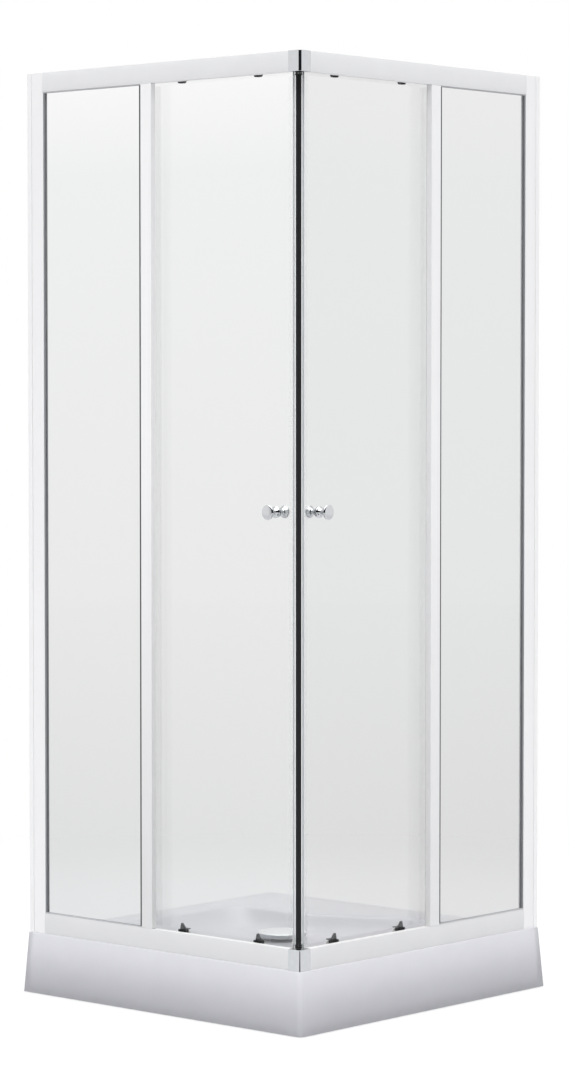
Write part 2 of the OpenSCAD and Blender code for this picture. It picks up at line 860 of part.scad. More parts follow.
// Clip on profile of the leading edge, with the seat of the magnet strip
module closing_profile() {
  back_u = magnet_u - clip_t;
  w = magnet_w / 2;
  arm_s = door_s1 + clip_t / 2;
  arm_u = back_u + clip_t / 2;
  upright(profile_z0, profile_z1) {
    rect(door_s1 - clip_w, door_s1 + clip_t, door_in - clip_t, door_in);
    rect(door_s1 - clip_w, door_s1 + clip_t, door_back, door_back + clip_t);
    rect(door_s1, door_s1 + clip_t, door_in - clip_t, door_back + clip_t);
    diagonal_rect(back_u, magnet_u, -w, w + clip_t);
    diagonal_rect(back_u, -gap - 1, w, w + clip_t);
    polygon([
      [arm_s, door_back - 2], diagonal_point(arm_u, -2), diagonal_point(arm_u, 2),
      [arm_s, door_back + clip_t - gap]
    ]);
  }
}

module closing_profile_front() {
  color("#dfe2e3", 0.7) front() closing_profile();
}

module closing_profile_side() {
  color("#dfe2e3", 0.7) side() closing_profile();
}

// Magnet strip with an end cap above and below, which covers the ends of its seat
module magnet() {
  w = magnet_w / 2;
  upright(profile_z0, profile_z1) diagonal_rect(magnet_u, -gap / 2, -w, w);
  for (z = [bottom_rail_h + cap_gap, profile_z1]) upright(z, z + profile_gap - cap_gap)
    diagonal_rect(magnet_u - clip_t, -gap / 2, -w, w + clip_t);
}

module magnet_front() {
  color("#1d1e20") front() magnet();
}

module magnet_side() {
  color("#1d1e20") side() magnet();
}

// A turned knob with its foot at Z zero: r is its widest radius, l its length
module knob(r, l) {
  bore = stud_r + run_gap;
  bore_l = l * 0.6;
  rotate_extrude() polygon([
    [bore, 0], [r * 0.78, 0], [r * 0.78, l * 0.09], [r * 0.6, l * 0.17], [r * 0.46, l * 0.32],
    [r * 0.44, l * 0.45], [r * 0.54, l * 0.6], [r * 0.78, l * 0.73], [r * 0.95, l * 0.81],
    [r, l * 0.87], [r, l * 0.94], [r * 0.94, l], [0, l], [0, bore_l], [bore, bore_l]
  ]);
}

module outer_knob() {
  translate([knob_pos, door_in - washer_t, knob_z]) rotate([90, 0, 0]) knob(knob_r, knob_l);
}

module inner_knob() {
  translate([knob_pos, door_back + washer_t, knob_z]) rotate([-90, 0, 0])
    knob(inner_knob_r, inner_knob_l);
}

module outer_knob_front() {
  color("#bfc4c8") front() outer_knob();
}

module outer_knob_side() {
  color("#bfc4c8") side() outer_knob();
}

module inner_knob_front() {
  color("#bfc4c8") front() inner_knob();
}

module inner_knob_side() {
  color("#bfc4c8") side() inner_knob();
}

// A ring square to the face
module ring_in(s, z, d0, d1, r_out, r_in) {
  difference() {
    bar_in(s, z, d0, d1, r_out);
    bar_in(s, z, d0 - 1, d1 + 1, r_in);
  }
}

// Knob stud with washers, axle bolts of the top rollers, bolts of the brackets
module door_fixings() {
  bar_in(knob_pos, knob_z, door_in - knob_l / 2, door_back + inner_knob_l / 2, stud_r);
  for (d = [door_in - washer_t, door_back])
    ring_in(knob_pos, knob_z, d, d + washer_t, stud_r * 3, stud_r + run_gap);
  head_d = top_wheel_d + wheel_w + 0.3;
  for (s = roller_s) {
    bar_in(s, top_wheel_z, door_in - nut_len, head_d + 1, axle_r);
    bar_in(s, top_wheel_z, head_d, head_d + 2, axle_r + 2);
    bar_in(s, bolt_z, door_in - nut_len, door_back + bracket_t - 1, axle_r);
    bar_in(s, bolt_z, door_back + bracket_t - 2, door_back + bracket_t, axle_r + 2);
    for (z = [top_wheel_z, bolt_z])
      ring_in(s, z, door_in - nut_len, door_in, axle_r + 4, axle_r + run_gap);
  }
}

module door_fixings_front() {
  color("#b4b8bc") front() door_fixings();
}

module door_fixings_side() {
  color("#b4b8bc") side() door_fixings();
}

// Block that hangs the door on a top wheel, with rounded lower corners
module roller_block(s) {
  w = block_w / 2;
  r = w / 2;
  z0 = top_z - block_show;
  difference() {
    union() {
      block(s - w, s + w, door_back, block_d1, z0 + r, door_head);
      block(s - w + r, s + w - r, door_back, block_d1, z0, z0 + r + 1);
      for (x = [s - w + r, s + w - r]) bar_in(x, z0 + r, door_back, block_d1, r);
    }
    bar_in(s, top_wheel_z, door_back - 1, block_d1 + 1, axle_r + run_gap);
  }
}

module roller_blocks_front() {
  color("#1f2022") front() for (s = roller_s) roller_block(s);
}

module roller_blocks_side() {
  color("#1f2022") side() for (s = roller_s) roller_block(s);
}

carriage_w = bracket_w / 2 - 3.3; // half width of the sliding plate
cheek_d1 = plate_d0 + plate_t - 0.8;
rail_key_d = plate_d0 + 2.2; // keys that guide the sliding plate
spring_r = 2.5;
spring_d = plate_d0 + spring_r; // depth of the spring axis
pocket_z0 = low_wheel_z - 6.8;
pocket_z1 = low_wheel_z + 12;
peg_t = 3;
tip_r = 2.4; // rounding of the finger tabs
bracket_top = pocket_z1 + 1.5;

// Bracket under the door pane that guides the carriage of a bottom wheel
module roller_bracket(s) {
  w = bracket_w / 2;
  difference() {
    union() {
      block(s - w, s + w, door_back, door_back + bracket_t, door_foot + 2, bracket_top);
      for (x = [s - w, s + w - 3]) block(x, x + 3, door_back, cheek_d1, pocket_z0 - 5, bracket_top);
      block(s - spring_r + 0.2, s + spring_r - 0.2, door_back, spring_d + 0.6,
            pocket_z1 - gap - peg_t, pocket_z1 - gap);
    }
    for (x = [s - w + 1.5, s + w - 3 - eps])
      block(x, x + 1.5 + eps, rail_key_d - gap, rail_key_d + 2 + gap, pocket_z0 - 6, pocket_z1 + 4);
    bar_in(s, bolt_z, door_back - 1, door_back + bracket_t + 1, axle_r + run_gap);
    bar_in(s, bolt_z, door_back + bracket_t - 2, door_back + bracket_t + 1, axle_r + 2 + run_gap);
  }
}

module roller_brackets_front() {
  color("#1f2022") front() for (s = roller_s) roller_bracket(s);
}

module roller_brackets_side() {
  color("#1f2022") side() for (s = roller_s) roller_bracket(s);
}

// Spring that presses a bottom wheel onto its rib, with its coils close wound
module roller_spring(s) {
  coils = 6;
  z0 = pocket_z0 + gap;
  l = pocket_z1 - gap - peg_t - run_gap - z0;
  pitch = l / coils;
  outer = [for (i = [0:coils - 1]) each [
    [spring_r - 0.4, i * pitch], [spring_r, (i + 0.3) * pitch], [spring_r, (i + 0.7) * pitch]]];
  translate([s, spring_d, z0]) rotate_extrude($fn = 24)
    polygon(concat([[spring_r - 1.2, 0]], outer, [[spring_r - 0.4, l], [spring_r - 1.2, l]]));
}

module roller_springs_front() {
  color("#9a9ea3") front() for (s = roller_s) roller_spring(s);
}

module roller_springs_side() {
  color("#9a9ea3") side() for (s = roller_s) roller_spring(s);
}

// Finger tab: a fin that is steep towards the wall and runs out towards the corner
module finger_tab(s, w, z) {
  tip_s = -w * 0.4;
  translate([s, plate_d0 + tab_t, 0]) rotate([90, 0, 0]) linear_extrude(height = tab_t) {
    polygon([
      [-w, z - 1], [w, z - 1], [w, z + 1.5], [tip_s + tip_r * 0.8, tab_top - tip_r * 0.4],
      [tip_s - tip_r, tab_top - tip_r], [-w, z + 1.5]
    ]);
    translate([tip_s, tab_top - tip_r]) circle(r = tip_r);
  }
}

// Sliding carriage of a bottom wheel, with the finger tab that releases it
module carriage(s) {
  w = carriage_w;
  d1 = plate_d0 + plate_t;
  plate_z1 = pocket_z1 + 2;
  hood_z = low_wheel_z + flange_out + 2;
  pin_d1 = low_wheel_d + wheel_w + 0.4;
  difference() {
    union() {
      block(s - w, s + w, plate_d0, d1, pocket_z0 - 1.5, plate_z1);
      block(s - w - 1.2, s + w + 1.2, rail_key_d, rail_key_d + 2, pocket_z0 - 1, pocket_z1);
    }
    block(s - spring_r - gap, s + spring_r + gap, plate_d0 - 1, spring_d + spring_r + gap,
          pocket_z0, pocket_z1);
  }
  finger_tab(s, w, plate_z1);
  block(s - w, s + w, d1 - 1, rail_depth - 1, hood_z, hood_z + 2);
  bar_in(s, low_wheel_z, d1 - 1, pin_d1 + 1.2, axle_r);
  bar_in(s, low_wheel_z, pin_d1, pin_d1 + 1.2, axle_r + 1.5);
}

// A grooved wheel on its axle, turning about a line square to the face
module wheel(s, z, d) {
  w = wheel_w / 2;
  g = groove_w / 2;
  translate([s, d + w, z]) rotate([-90, 0, 0]) rotate_extrude() polygon([
    [axle_r + run_gap, -w], [flange_out, -w], [flange_out, -g - 0.6], [wheel_r, -g],
    [wheel_r, g], [flange_out, g + 0.6], [flange_out, w], [axle_r + run_gap, w]
  ]);
}

module release_front_rear() {
  color("#232426") front() carriage(roller_s[0]);
}

module release_front_lead() {
  color("#232426") front() carriage(roller_s[1]);
}

module release_side_rear() {
  color("#232426") side() carriage(roller_s[0]);
}

module release_side_lead() {
  color("#232426") side() carriage(roller_s[1]);
}

module top_wheel_front_rear() {
  color("#e6e6e4") front() wheel(roller_s[0], top_wheel_z, top_wheel_d);
}

module top_wheel_front_lead() {
  color("#e6e6e4") front() wheel(roller_s[1], top_wheel_z, top_wheel_d);
}

module top_wheel_side_rear() {
  color("#e6e6e4") side() wheel(roller_s[0], top_wheel_z, top_wheel_d);
}

module top_wheel_side_lead() {
  color("#e6e6e4") side() wheel(roller_s[1], top_wheel_z, top_wheel_d);
}

module low_wheel_front_rear() {
  color("#2a2b2d") front() wheel(roller_s[0], low_wheel_z, low_wheel_d);
}

module low_wheel_front_lead() {
  color("#2a2b2d") front() wheel(roller_s[1], low_wheel_z, low_wheel_d);
}

module low_wheel_side_rear() {
  color("#2a2b2d") side() wheel(roller_s[0], low_wheel_z, low_wheel_d);
}

module low_wheel_side_lead() {
  color("#2a2b2d") side() wheel(roller_s[1], low_wheel_z, low_wheel_d);
}

shower_tray();
tray_board();
support_bars();
foot_rods();
foot_pads();
foot_nuts();
waste_flange();
waste_gasket();
trap_body();
trap_nut();
outlet_pipe();
drain_cover();
wall_channel_front();
wall_channel_side();
side_posts();
frame_screws();
top_rail_front();
top_rail_side();
bottom_rail_front();
bottom_rail_side();
top_corner_joint();
bottom_corner_joint();
fixed_pane_front();
fixed_pane_side();
fixed_stiles();
pane_gaskets();
rail_stops();
door_pane_front();
trailing_profile_front();
closing_profile_front();
magnet_front();
outer_knob_front();
inner_knob_front();
door_fixings_front();
roller_blocks_front();
roller_brackets_front();
roller_springs_front();
door_pane_side();
trailing_profile_side();
closing_profile_side();
magnet_side();
outer_knob_side();
inner_knob_side();
door_fixings_side();
roller_blocks_side();
roller_brackets_side();
roller_springs_side();
top_wheel_front_rear();
top_wheel_front_lead();
top_wheel_side_rear();
top_wheel_side_lead();
release_front_rear();
release_front_lead();
release_side_rear();
release_side_lead();
low_wheel_front_rear();
low_wheel_front_lead();
low_wheel_side_rear();
low_wheel_side_lead();
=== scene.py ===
import json
import math

import bmesh
import bpy
from mathutils import Matrix, Vector

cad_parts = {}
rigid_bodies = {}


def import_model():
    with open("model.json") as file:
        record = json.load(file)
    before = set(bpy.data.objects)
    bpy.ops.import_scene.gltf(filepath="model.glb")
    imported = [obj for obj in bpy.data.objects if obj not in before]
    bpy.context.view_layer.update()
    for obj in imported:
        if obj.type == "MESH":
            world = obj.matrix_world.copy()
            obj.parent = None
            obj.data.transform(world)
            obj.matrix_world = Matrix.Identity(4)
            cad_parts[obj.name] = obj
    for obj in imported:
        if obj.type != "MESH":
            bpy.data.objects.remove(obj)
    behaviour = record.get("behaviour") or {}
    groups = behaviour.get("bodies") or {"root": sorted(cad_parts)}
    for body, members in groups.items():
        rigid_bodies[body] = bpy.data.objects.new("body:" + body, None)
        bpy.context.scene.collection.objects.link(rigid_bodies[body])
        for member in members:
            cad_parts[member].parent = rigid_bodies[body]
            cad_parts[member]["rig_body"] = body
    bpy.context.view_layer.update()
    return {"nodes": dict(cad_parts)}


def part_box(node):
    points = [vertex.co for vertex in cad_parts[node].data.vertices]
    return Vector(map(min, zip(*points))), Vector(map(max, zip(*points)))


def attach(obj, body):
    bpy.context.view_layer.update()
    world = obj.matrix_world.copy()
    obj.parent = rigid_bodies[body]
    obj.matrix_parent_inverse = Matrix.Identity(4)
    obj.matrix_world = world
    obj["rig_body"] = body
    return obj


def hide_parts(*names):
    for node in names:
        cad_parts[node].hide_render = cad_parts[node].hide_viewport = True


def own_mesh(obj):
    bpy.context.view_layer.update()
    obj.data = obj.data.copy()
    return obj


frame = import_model()
MM = 0.001


# Studio: a pale floor in a white room, a broad soft light from above the open corner, and a
# dark wall behind the camera, which only the polished metal picks up. The camera stands
# nearly on the diagonal before the corner and looks a little down.
def tone(code):
    """The linear colour of an sRGB hex value."""
    parts = [int(code[i:i + 2], 16) / 255 for i in (1, 3, 5)]
    return [p / 12.92 if p <= 0.04045 else ((p + 0.055) / 1.055) ** 2.4 for p in parts] + [1.0]


def wire(node, inputs):
    """Sets a node's inputs: a socket is linked, anything else is its value."""
    for name, value in inputs.items():
        if isinstance(value, bpy.types.NodeSocket):
            node.id_data.links.new(value, node.inputs[name])
        else:
            node.inputs[name].default_value = value


def add(tree, kind, inputs=None, **settings):
    """Adds a node with its settings and its inputs. Every mix is one of colours."""
    node = tree.nodes.new("ShaderNode" + kind)
    if kind == "Mix":
        node.data_type = "RGBA"
    for name, value in settings.items():
        setattr(node, name, value)
    wire(node, inputs or {})
    return node


toward_camera = (0.666, -0.746, 0.0)
world = bpy.data.worlds.new("studio")
bpy.context.scene.world = world
world.use_nodes = True
tree = world.node_tree
tree.nodes.clear()
path = add(tree, "LightPath")
mirror = add(tree, "Math", {0: path.outputs["Is Glossy Ray"], 1: path.outputs["Is Reflection Ray"]},
             operation="MINIMUM")
plain = add(tree, "Math", {0: path.outputs["Is Camera Ray"], 1: path.outputs["Is Transmission Ray"]},
            operation="MAXIMUM")
where = add(tree, "TexCoord")
facing = add(tree, "VectorMath", {0: where.outputs["Generated"], 1: toward_camera},
             operation="DOT_PRODUCT")
dark = add(tree, "MapRange", {"Value": facing.outputs["Value"], "From Min": 0.12, "From Max": 0.40},
           interpolation_type="SMOOTHSTEP")
wall = add(tree, "Mix", {0: dark.outputs[0], 6: tone("#FFFFFF"), 7: tone("#1E1F22")})
soft = add(tree, "Background", {"Color": tone("#FBFCFF"), "Strength": 0.62})
white = add(tree, "Background", {"Color": tone("#FFFFFF")})
mirrored = add(tree, "Background", {"Color": wall.outputs[2]})
seen = add(tree, "MixShader", {0: plain.outputs[0], 1: soft.outputs[0], 2: white.outputs[0]})
room = add(tree, "MixShader", {0: mirror.outputs[0], 1: seen.outputs[0], 2: mirrored.outputs[0]})
add(tree, "OutputWorld", {"Surface": room.outputs[0]})

sky = bpy.data.lights.new("overhead", "SUN")
sky.energy = 2.0
sky.angle = math.radians(70)
lamp = bpy.data.objects.new("overhead", sky)
lamp.rotation_euler = Vector((0.3, -0.34, 1.0)).to_track_quat("Z", "Y").to_euler()
bpy.context.scene.collection.objects.link(lamp)
box = bpy.data.lights.new("softbox", "SUN")
box.energy = 1.6
box.angle = math.radians(80)
bpy.context.scene.collection.objects.link(bpy.data.objects.new("softbox", box))

camera = bpy.data.objects.new("camera", bpy.data.cameras.new("camera"))
camera.location = (4.8843, -5.4699, 1.2987)
camera.rotation_euler = (math.radians(87.45), 0, math.radians(41.77))
camera.data.lens = 112.5
camera.data.sensor_width = 36
bpy.context.scene.collection.objects.link(camera)
bpy.context.scene.camera = camera
bpy.context.scene.view_settings.view_transform = "Standard"

# To the camera the floor is nearly the white of the room, and wholly so beyond the fade, so it
# shows soft shadows and no edge. Polished metal mirrors a dark patch of it between the cabin
# and the camera. A greyer paint dims the light that it throws back.
floor_reach = 14.0
floor_fade = (1.2, 2.6)
patch_start, patch_side = (0.85, 1.05), (0.25, 0.55)
sideways = (0.746, 0.666, 0.0)
bm = bmesh.new()
bmesh.ops.create_circle(bm, cap_ends=True, radius=floor_reach, segments=96)
mesh = bpy.data.meshes.new("floor")
bm.to_mesh(mesh)
bm.free()
floor = bpy.data.objects.new("floor", mesh)
bpy.context.scene.collection.objects.link(floor)
floor_paint = bpy.data.materials.new("floor_paint")
floor_paint.use_nodes = True
tree = floor_paint.node_tree
tree.nodes.clear()
path = add(tree, "LightPath")
mirror = add(tree, "Math", {0: path.outputs["Is Glossy Ray"], 1: path.outputs["Is Reflection Ray"]},
             operation="MINIMUM")
seen = add(tree, "Math", {0: path.outputs["Is Camera Ray"], 1: path.outputs["Is Glossy Ray"]},
           operation="MAXIMUM")
seen = add(tree, "Math", {0: seen.outputs[0], 1: path.outputs["Is Transmission Ray"]},
           operation="MAXIMUM")
where = add(tree, "TexCoord")
reach = add(tree, "VectorMath", {0: where.outputs["Object"]}, operation="LENGTH")
share = add(tree, "MapRange", {"Value": reach.outputs["Value"], "From Min": floor_fade[0],
            "From Max": floor_fade[1], "To Min": 0.72}, interpolation_type="SMOOTHSTEP")
share = add(tree, "Math", {0: share.outputs[0], 1: seen.outputs[0]}, operation="MULTIPLY")
paint = add(tree, "Mix", {0: path.outputs["Is Diffuse Ray"], 6: tone("#E6E6E8"), 7: tone("#C0C0C2")})
matt = add(tree, "BsdfDiffuse", {"Color": paint.outputs[2]})
ahead = add(tree, "VectorMath", {0: where.outputs["Object"], 1: toward_camera}, operation="DOT_PRODUCT")
ahead = add(tree, "MapRange", {"Value": ahead.outputs["Value"], "From Min": patch_start[0],
            "From Max": patch_start[1]})
aside = add(tree, "VectorMath", {0: where.outputs["Object"], 1: sideways}, operation="DOT_PRODUCT")
aside = add(tree, "Math", {0: aside.outputs["Value"]}, operation="ABSOLUTE")
aside = add(tree, "MapRange", {"Value": aside.outputs[0], "From Min": patch_side[0],
            "From Max": patch_side[1], "To Min": 1.0, "To Max": 0.0})
ahead = add(tree, "Math", {0: ahead.outputs[0], 1: aside.outputs[0]}, operation="MULTIPLY")
patch = add(tree, "Math", {0: mirror.outputs[0], 1: ahead.outputs[0]}, operation="MULTIPLY")
share = add(tree, "Math", {0: share.outputs[0], 1: patch.outputs[0]}, operation="MAXIMUM")
shown = add(tree, "Mix", {0: ahead.outputs[0], 6: tone("#F1F1F2"), 7: tone("#1E1F22")})
shown = add(tree, "Mix", {0: mirror.outputs[0], 6: tone("#FFFFFF"), 7: shown.outputs[2]})
glow = add(tree, "Emission", {"Color": shown.outputs[2]})
both = add(tree, "MixShader", {0: share.outputs[0], 1: matt.outputs[0], 2: glow.outputs[0]})
add(tree, "OutputMaterial", {"Surface": both.outputs[0]})
mesh.materials.append(floor_paint)


# Shower tray: one sheet of white sanitary acrylic, vacuum formed over a mould and backed with
# glass fibre. The skirts on the two free sides spread towards the floor, the two wall sides
# are only turned down, and the basin has a raised shelf in its back left corner.
def finish(name, sockets):
    """A material, its shader with these values, and its node tree."""
    material = bpy.data.materials.new(name)
    material.use_nodes = True
    shader = material.node_tree.nodes["Principled BSDF"]
    wire(shader, sockets)
    return material, shader, material.node_tree


def piece(name, bm, material, body, node):
    """Makes a piece of the object from a mesh: it rides a body and stands for a CAD node."""
    mesh = bpy.data.meshes.new(name)
    bm.to_mesh(mesh)
    bm.free()
    mesh.materials.append(material)
    obj = bpy.data.objects.new(name, mesh)
    bpy.context.scene.collection.objects.link(obj)
    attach(obj, body)
    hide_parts(node)
    return obj


def arc(centre, r, a0, a1, n):
    """Points of an arc from angle a0 to a1, in degrees."""
    angles = [math.radians(a0 + (a1 - a0) * i / n) for i in range(n + 1)]
    return [(centre[0] + r * math.cos(a), centre[1] + r * math.sin(a)) for a in angles]


def rounded(points, radii, n):
    """A closed outline with each corner rounded by its own radius, in n steps."""
    out = []
    for i, r in enumerate(radii):
        a, b, c = Vector(points[i - 1]), Vector(points[i]), Vector(points[(i + 1) % len(points)])
        u, v = (a - b).normalized(), (c - b).normalized()
        turn = u.angle(v) / 2
        mid = b + (u + v).normalized() * r / math.sin(turn)
        p, q = b + u * r / math.tan(turn) - mid, b + v * r / math.tan(turn) - mid
        for k in range(n + 1):
            out.append(tuple(mid + p.lerp(q, k / n).normalized() * r))
    return out


def bridge(bm, rings):
    """Adds walls between rings of as many vertices."""
    for lower, upper in zip(rings, rings[1:]):
        for k in range(len(lower)):
            j = (k + 1) % len(lower)
            bm.faces.new((lower[k], lower[j], upper[j], upper[k]))


def loft(bm, outlines, heights):
    """Adds walls between outlines at these heights, and returns the rings of vertices."""
    rings = [[bm.verts.new((x, y, z)) for x, y in ring] for ring, z in zip(outlines, heights)]
    bridge(bm, rings)
    return rings


tray_low, tray_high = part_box("shower_tray")
half, rim_z = tray_high.x, tray_high.z
skirt_flare, rim_lip, skirt_r, rim_edge_r = 18 * MM, 2 * MM, 12 * MM, 1.5 * MM
wall_edge_z = rim_z - 30 * MM
skirt_return = 26 * MM
acrylic_t = 4 * MM
side_steps, corner_steps = 36, 8
rim_w, shelf_w, shelf_l, shelf_run, basin_r = 74 * MM, 128 * MM, 205 * MM, 250 * MM, 42 * MM
basin_depth, floor_share = 40 * MM, 0.78
drain = Vector((-85, 85)) * MM
drain_hole_r, drain_flat_r = 30 * MM, 60 * MM


def tray_outline(edge, back, r):
    """The tray seen from above: front, rounded free corner, right side, back and left side."""
    end = skirt_return
    front = [(-back + (edge - r + back) * i / side_steps, -edge) for i in range(side_steps)]
    free = arc((edge - r, r - edge), r, -90, 0, corner_steps)
    right = [(edge, r - edge + (back + edge - r) * i / side_steps) for i in range(1, side_steps)]
    rear = [(half - end - (half - end + back) * i / side_steps, back) for i in range(side_steps)]
    left = [(-back, back - (back + half - end) * i / side_steps) for i in range(side_steps + 1)]
    return front + free + right + [(edge, back)] + rear + left


def across(outline, angle):
    """The point where the ray from the middle at this angle leaves a closed outline."""
    way = Vector((math.cos(angle), math.sin(angle)))
    for a, b in zip(outline, outline[1:] + outline[:1]):
        a, b = Vector(a), Vector(b)
        span = b - a
        cross = way.x * span.y - way.y * span.x
        if abs(cross) > 1e-12:
            t = (a.x * span.y - a.y * span.x) / cross
            u = (a.x * way.y - a.y * way.x) / cross
            if t > 0 and -1e-9 <= u <= 1 + 1e-9:
                return way * t
    raise ValueError("the outline doesn't go round the middle")


rim_reach = half - skirt_flare + rim_lip
slope = (rim_reach - half) / (rim_z - tray_low.z)
outer, heights = [], []
for z in (tray_low.z, wall_edge_z, rim_z - rim_edge_r):
    outer.append(tray_outline(half + slope * (z - tray_low.z), half, skirt_r))
    heights.append(z)
for a in (22.5, 45, 67.5, 90):
    inset = rim_edge_r * (1 - math.cos(math.radians(a)))
    outer.append(tray_outline(rim_reach - inset, half - inset, skirt_r - inset))
    heights.append(rim_z - rim_edge_r * (1 - math.sin(math.radians(a))))
left, right, back = rim_w - half, half - skirt_flare - rim_w, half - rim_w
mouth = rounded([(left, -right), (right, -right), (right, back), (left + shelf_l + shelf_run, back),
                 (left + shelf_l, back - shelf_w), (left, back - shelf_w)],
                [basin_r] * 3 + [2 * basin_r] * 2 + [basin_r], 12)
mouth_points = [across(mouth, math.atan2(y, x)) for x, y in outer[-1]]


def basin_wall(t):
    """Share of the mouth and height at t, from 0 at the rim to 1 on the basin floor."""
    return 1 - (1 - floor_share) * t, rim_z - basin_depth * math.sin(math.radians(90 * t))


# The rim turns over into the basin from a little outside the mouth.
turn_start, turn_end = 1.022, 0.10
end_share, end_z = basin_wall(turn_end)
steps = [(turn_start, rim_z)]
for k in range(1, 5):
    t = k / 5
    share = (1 - t) ** 2 * turn_start + 2 * t * (1 - t) + t * t * end_share
    steps.append((share, (1 - t * t) * rim_z + t * t * end_z))
steps += [basin_wall(turn_end + (1 - turn_end) * i / 14) for i in range(15)]
for share, z in steps:
    outer.append([(p.x * share, p.y * share) for p in mouth_points])
    heights.append(z)
floor_ring = outer[-1]
for r in (drain_flat_r, 1.5 * drain_hole_r, drain_hole_r):
    outer.append([tuple(drain + (Vector(p) - drain).normalized() * r) for p in floor_ring])
    heights.append(rim_z - basin_depth)

bm = bmesh.new()
rings = loft(bm, outer, heights)
wall_side = [v for v in rings[0] if v.co.y > skirt_return - half and v.co.x < half - skirt_return]
wall_side = [v for v in wall_side if v.co.x < 1e-6 - half or v.co.y > half - 1e-6]
bmesh.ops.delete(bm, geom=wall_side, context="VERTS")
for face in bm.faces:
    face.smooth = True
acrylic, shader, tree = finish("sanitary_acrylic", {"IOR": 1.49, "Coat Weight": 0.15,
                                "Coat Roughness": 0.3})
here = add(tree, "TexCoord")
# The sheet keeps a faint waviness of the mould, about 45 mm from crest to crest, and limescale
# dulls its gloss in spots, drawn 3 mm apart.
wave = add(tree, "TexNoise", {"Vector": here.outputs["Object"], "Scale": 1 / (45 * MM)})
spots = add(tree, "TexNoise", {"Vector": here.outputs["Object"], "Scale": 1 / (3 * MM), "Detail": 3.0})
colour = add(tree, "Mix", {0: wave.outputs["Fac"], 6: tone("#CDCDD1"), 7: tone("#D2D2D6")})
gloss = add(tree, "MapRange", {"Value": spots.outputs["Fac"], "To Min": 0.26, "To Max": 0.32})
relief = add(tree, "Bump", {"Height": wave.outputs["Fac"], "Strength": 0.12, "Distance": 0.6 * MM})
wire(shader, {"Base Color": colour.outputs[2], "Roughness": gloss.outputs[0],
     "Normal": relief.outputs[0]})
fibre, shader, tree = finish("glass_fibre_backing", {"Roughness": 0.7, "IOR": 1.5})
here = add(tree, "TexCoord")
# Chopped strands, drawn 6 mm wide, stand out of the brushed resin.
strand = add(tree, "TexWave", {"Vector": here.outputs["Object"], "Scale": 1 / (math.tau * 6 * MM),
             "Distortion": 18.0, "Detail": 3.0, "Detail Scale": 2.0})
colour = add(tree, "Mix", {0: strand.outputs["Fac"], 6: tone("#BDBCB2"), 7: tone("#DBDAD2")})
relief = add(tree, "Bump", {"Height": strand.outputs["Fac"], "Strength": 0.5, "Distance": 0.5 * MM})
wire(shader, {"Base Color": colour.outputs[2], "Normal": relief.outputs[0]})
tray = piece("tray_shell", bm, acrylic, "cabin", "shower_tray")
tray.data.materials.append(fibre)
sheet = tray.modifiers.new("sheet", "SOLIDIFY")
sheet.thickness = acrylic_t
sheet.offset = -1
sheet.material_offset = 1
sheet.material_offset_rim = 0
sheet.use_quality_normals = True


# Board: a chipboard panel laid up under the basin floor, so that it doesn't give under the
# feet. Its edges are sawn and show the pressed chips.
def weighted(obj):
    """Lets the large faces of a piece set the shading of its rounded edges."""
    shading = obj.modifiers.new("shading", "WEIGHTED_NORMAL")
    shading.weight = 100
    shading.keep_sharp = True
    return obj


def softened(node, name, width, material, shape=None):
    """A copy of a CAD node with its sharp edges rounded, which stands for the node. Where it is
    given, shape changes the copy first."""
    bm = bmesh.new()
    bm.from_mesh(frame["nodes"][node].data)
    bmesh.ops.remove_doubles(bm, verts=bm.verts, dist=2e-6)
    bmesh.ops.dissolve_limit(bm, angle_limit=math.radians(1), verts=bm.verts, edges=bm.edges)
    if shape:
        shape(bm)
    sharp = [e for e in bm.edges if len(e.link_faces) == 2 and e.calc_length() > 4 * width
             and e.calc_face_angle() > math.radians(28)]
    bmesh.ops.bevel(bm, geom=sharp, offset=width, offset_type="OFFSET", segments=2, profile=0.5,
                    affect="EDGES", clamp_overlap=False)
    for face in bm.faces:
        face.smooth = True
    for edge in bm.edges:
        edge.smooth = len(edge.link_faces) != 2 or edge.calc_face_angle() < math.radians(60)
    return weighted(piece(name, bm, material, frame["nodes"][node]["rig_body"], node))


chipboard, shader, tree = finish("chipboard", {"Roughness": 0.8, "IOR": 1.5})
here = add(tree, "TexCoord")
# Pressed chips of about 5 mm, some darker than others.
chips = add(tree, "TexVoronoi", {"Vector": here.outputs["Object"], "Scale": 1 / (5 * MM)})
grey = add(tree, "RGBToBW", {"Color": chips.outputs["Color"]})
colour = add(tree, "Mix", {0: grey.outputs[0], 6: tone("#9A8258"), 7: tone("#CDB789")})
relief = add(tree, "Bump", {"Height": chips.outputs["Distance"], "Strength": 0.4, "Distance": 0.3 * MM})
wire(shader, {"Base Color": colour.outputs[2], "Normal": relief.outputs[0]})
softened("tray_board", "chipboard_panel", 0.8 * MM, chipboard)


# Support tubes: three square steel tubes across the tray, cold formed and zinc dipped. The
# foot rods pass through them near both ends.
zinc, shader, tree = finish("galvanised_steel", {"Metallic": 1.0})
here = add(tree, "TexCoord")
# Zinc crystals about 9 mm across.
flake = add(tree, "TexVoronoi", {"Vector": here.outputs["Object"], "Scale": 1 / (9 * MM)})
grey = add(tree, "RGBToBW", {"Color": flake.outputs["Color"]})
colour = add(tree, "Mix", {0: grey.outputs[0], 6: tone("#A4A8AB"), 7: tone("#C3C6C8")})
gloss = add(tree, "MapRange", {"Value": grey.outputs[0], "To Min": 0.32, "To Max": 0.52})
wire(shader, {"Base Color": colour.outputs[2], "Roughness": gloss.outputs[0]})
softened("support_bars", "support_tubes", 0.8 * MM, zinc)


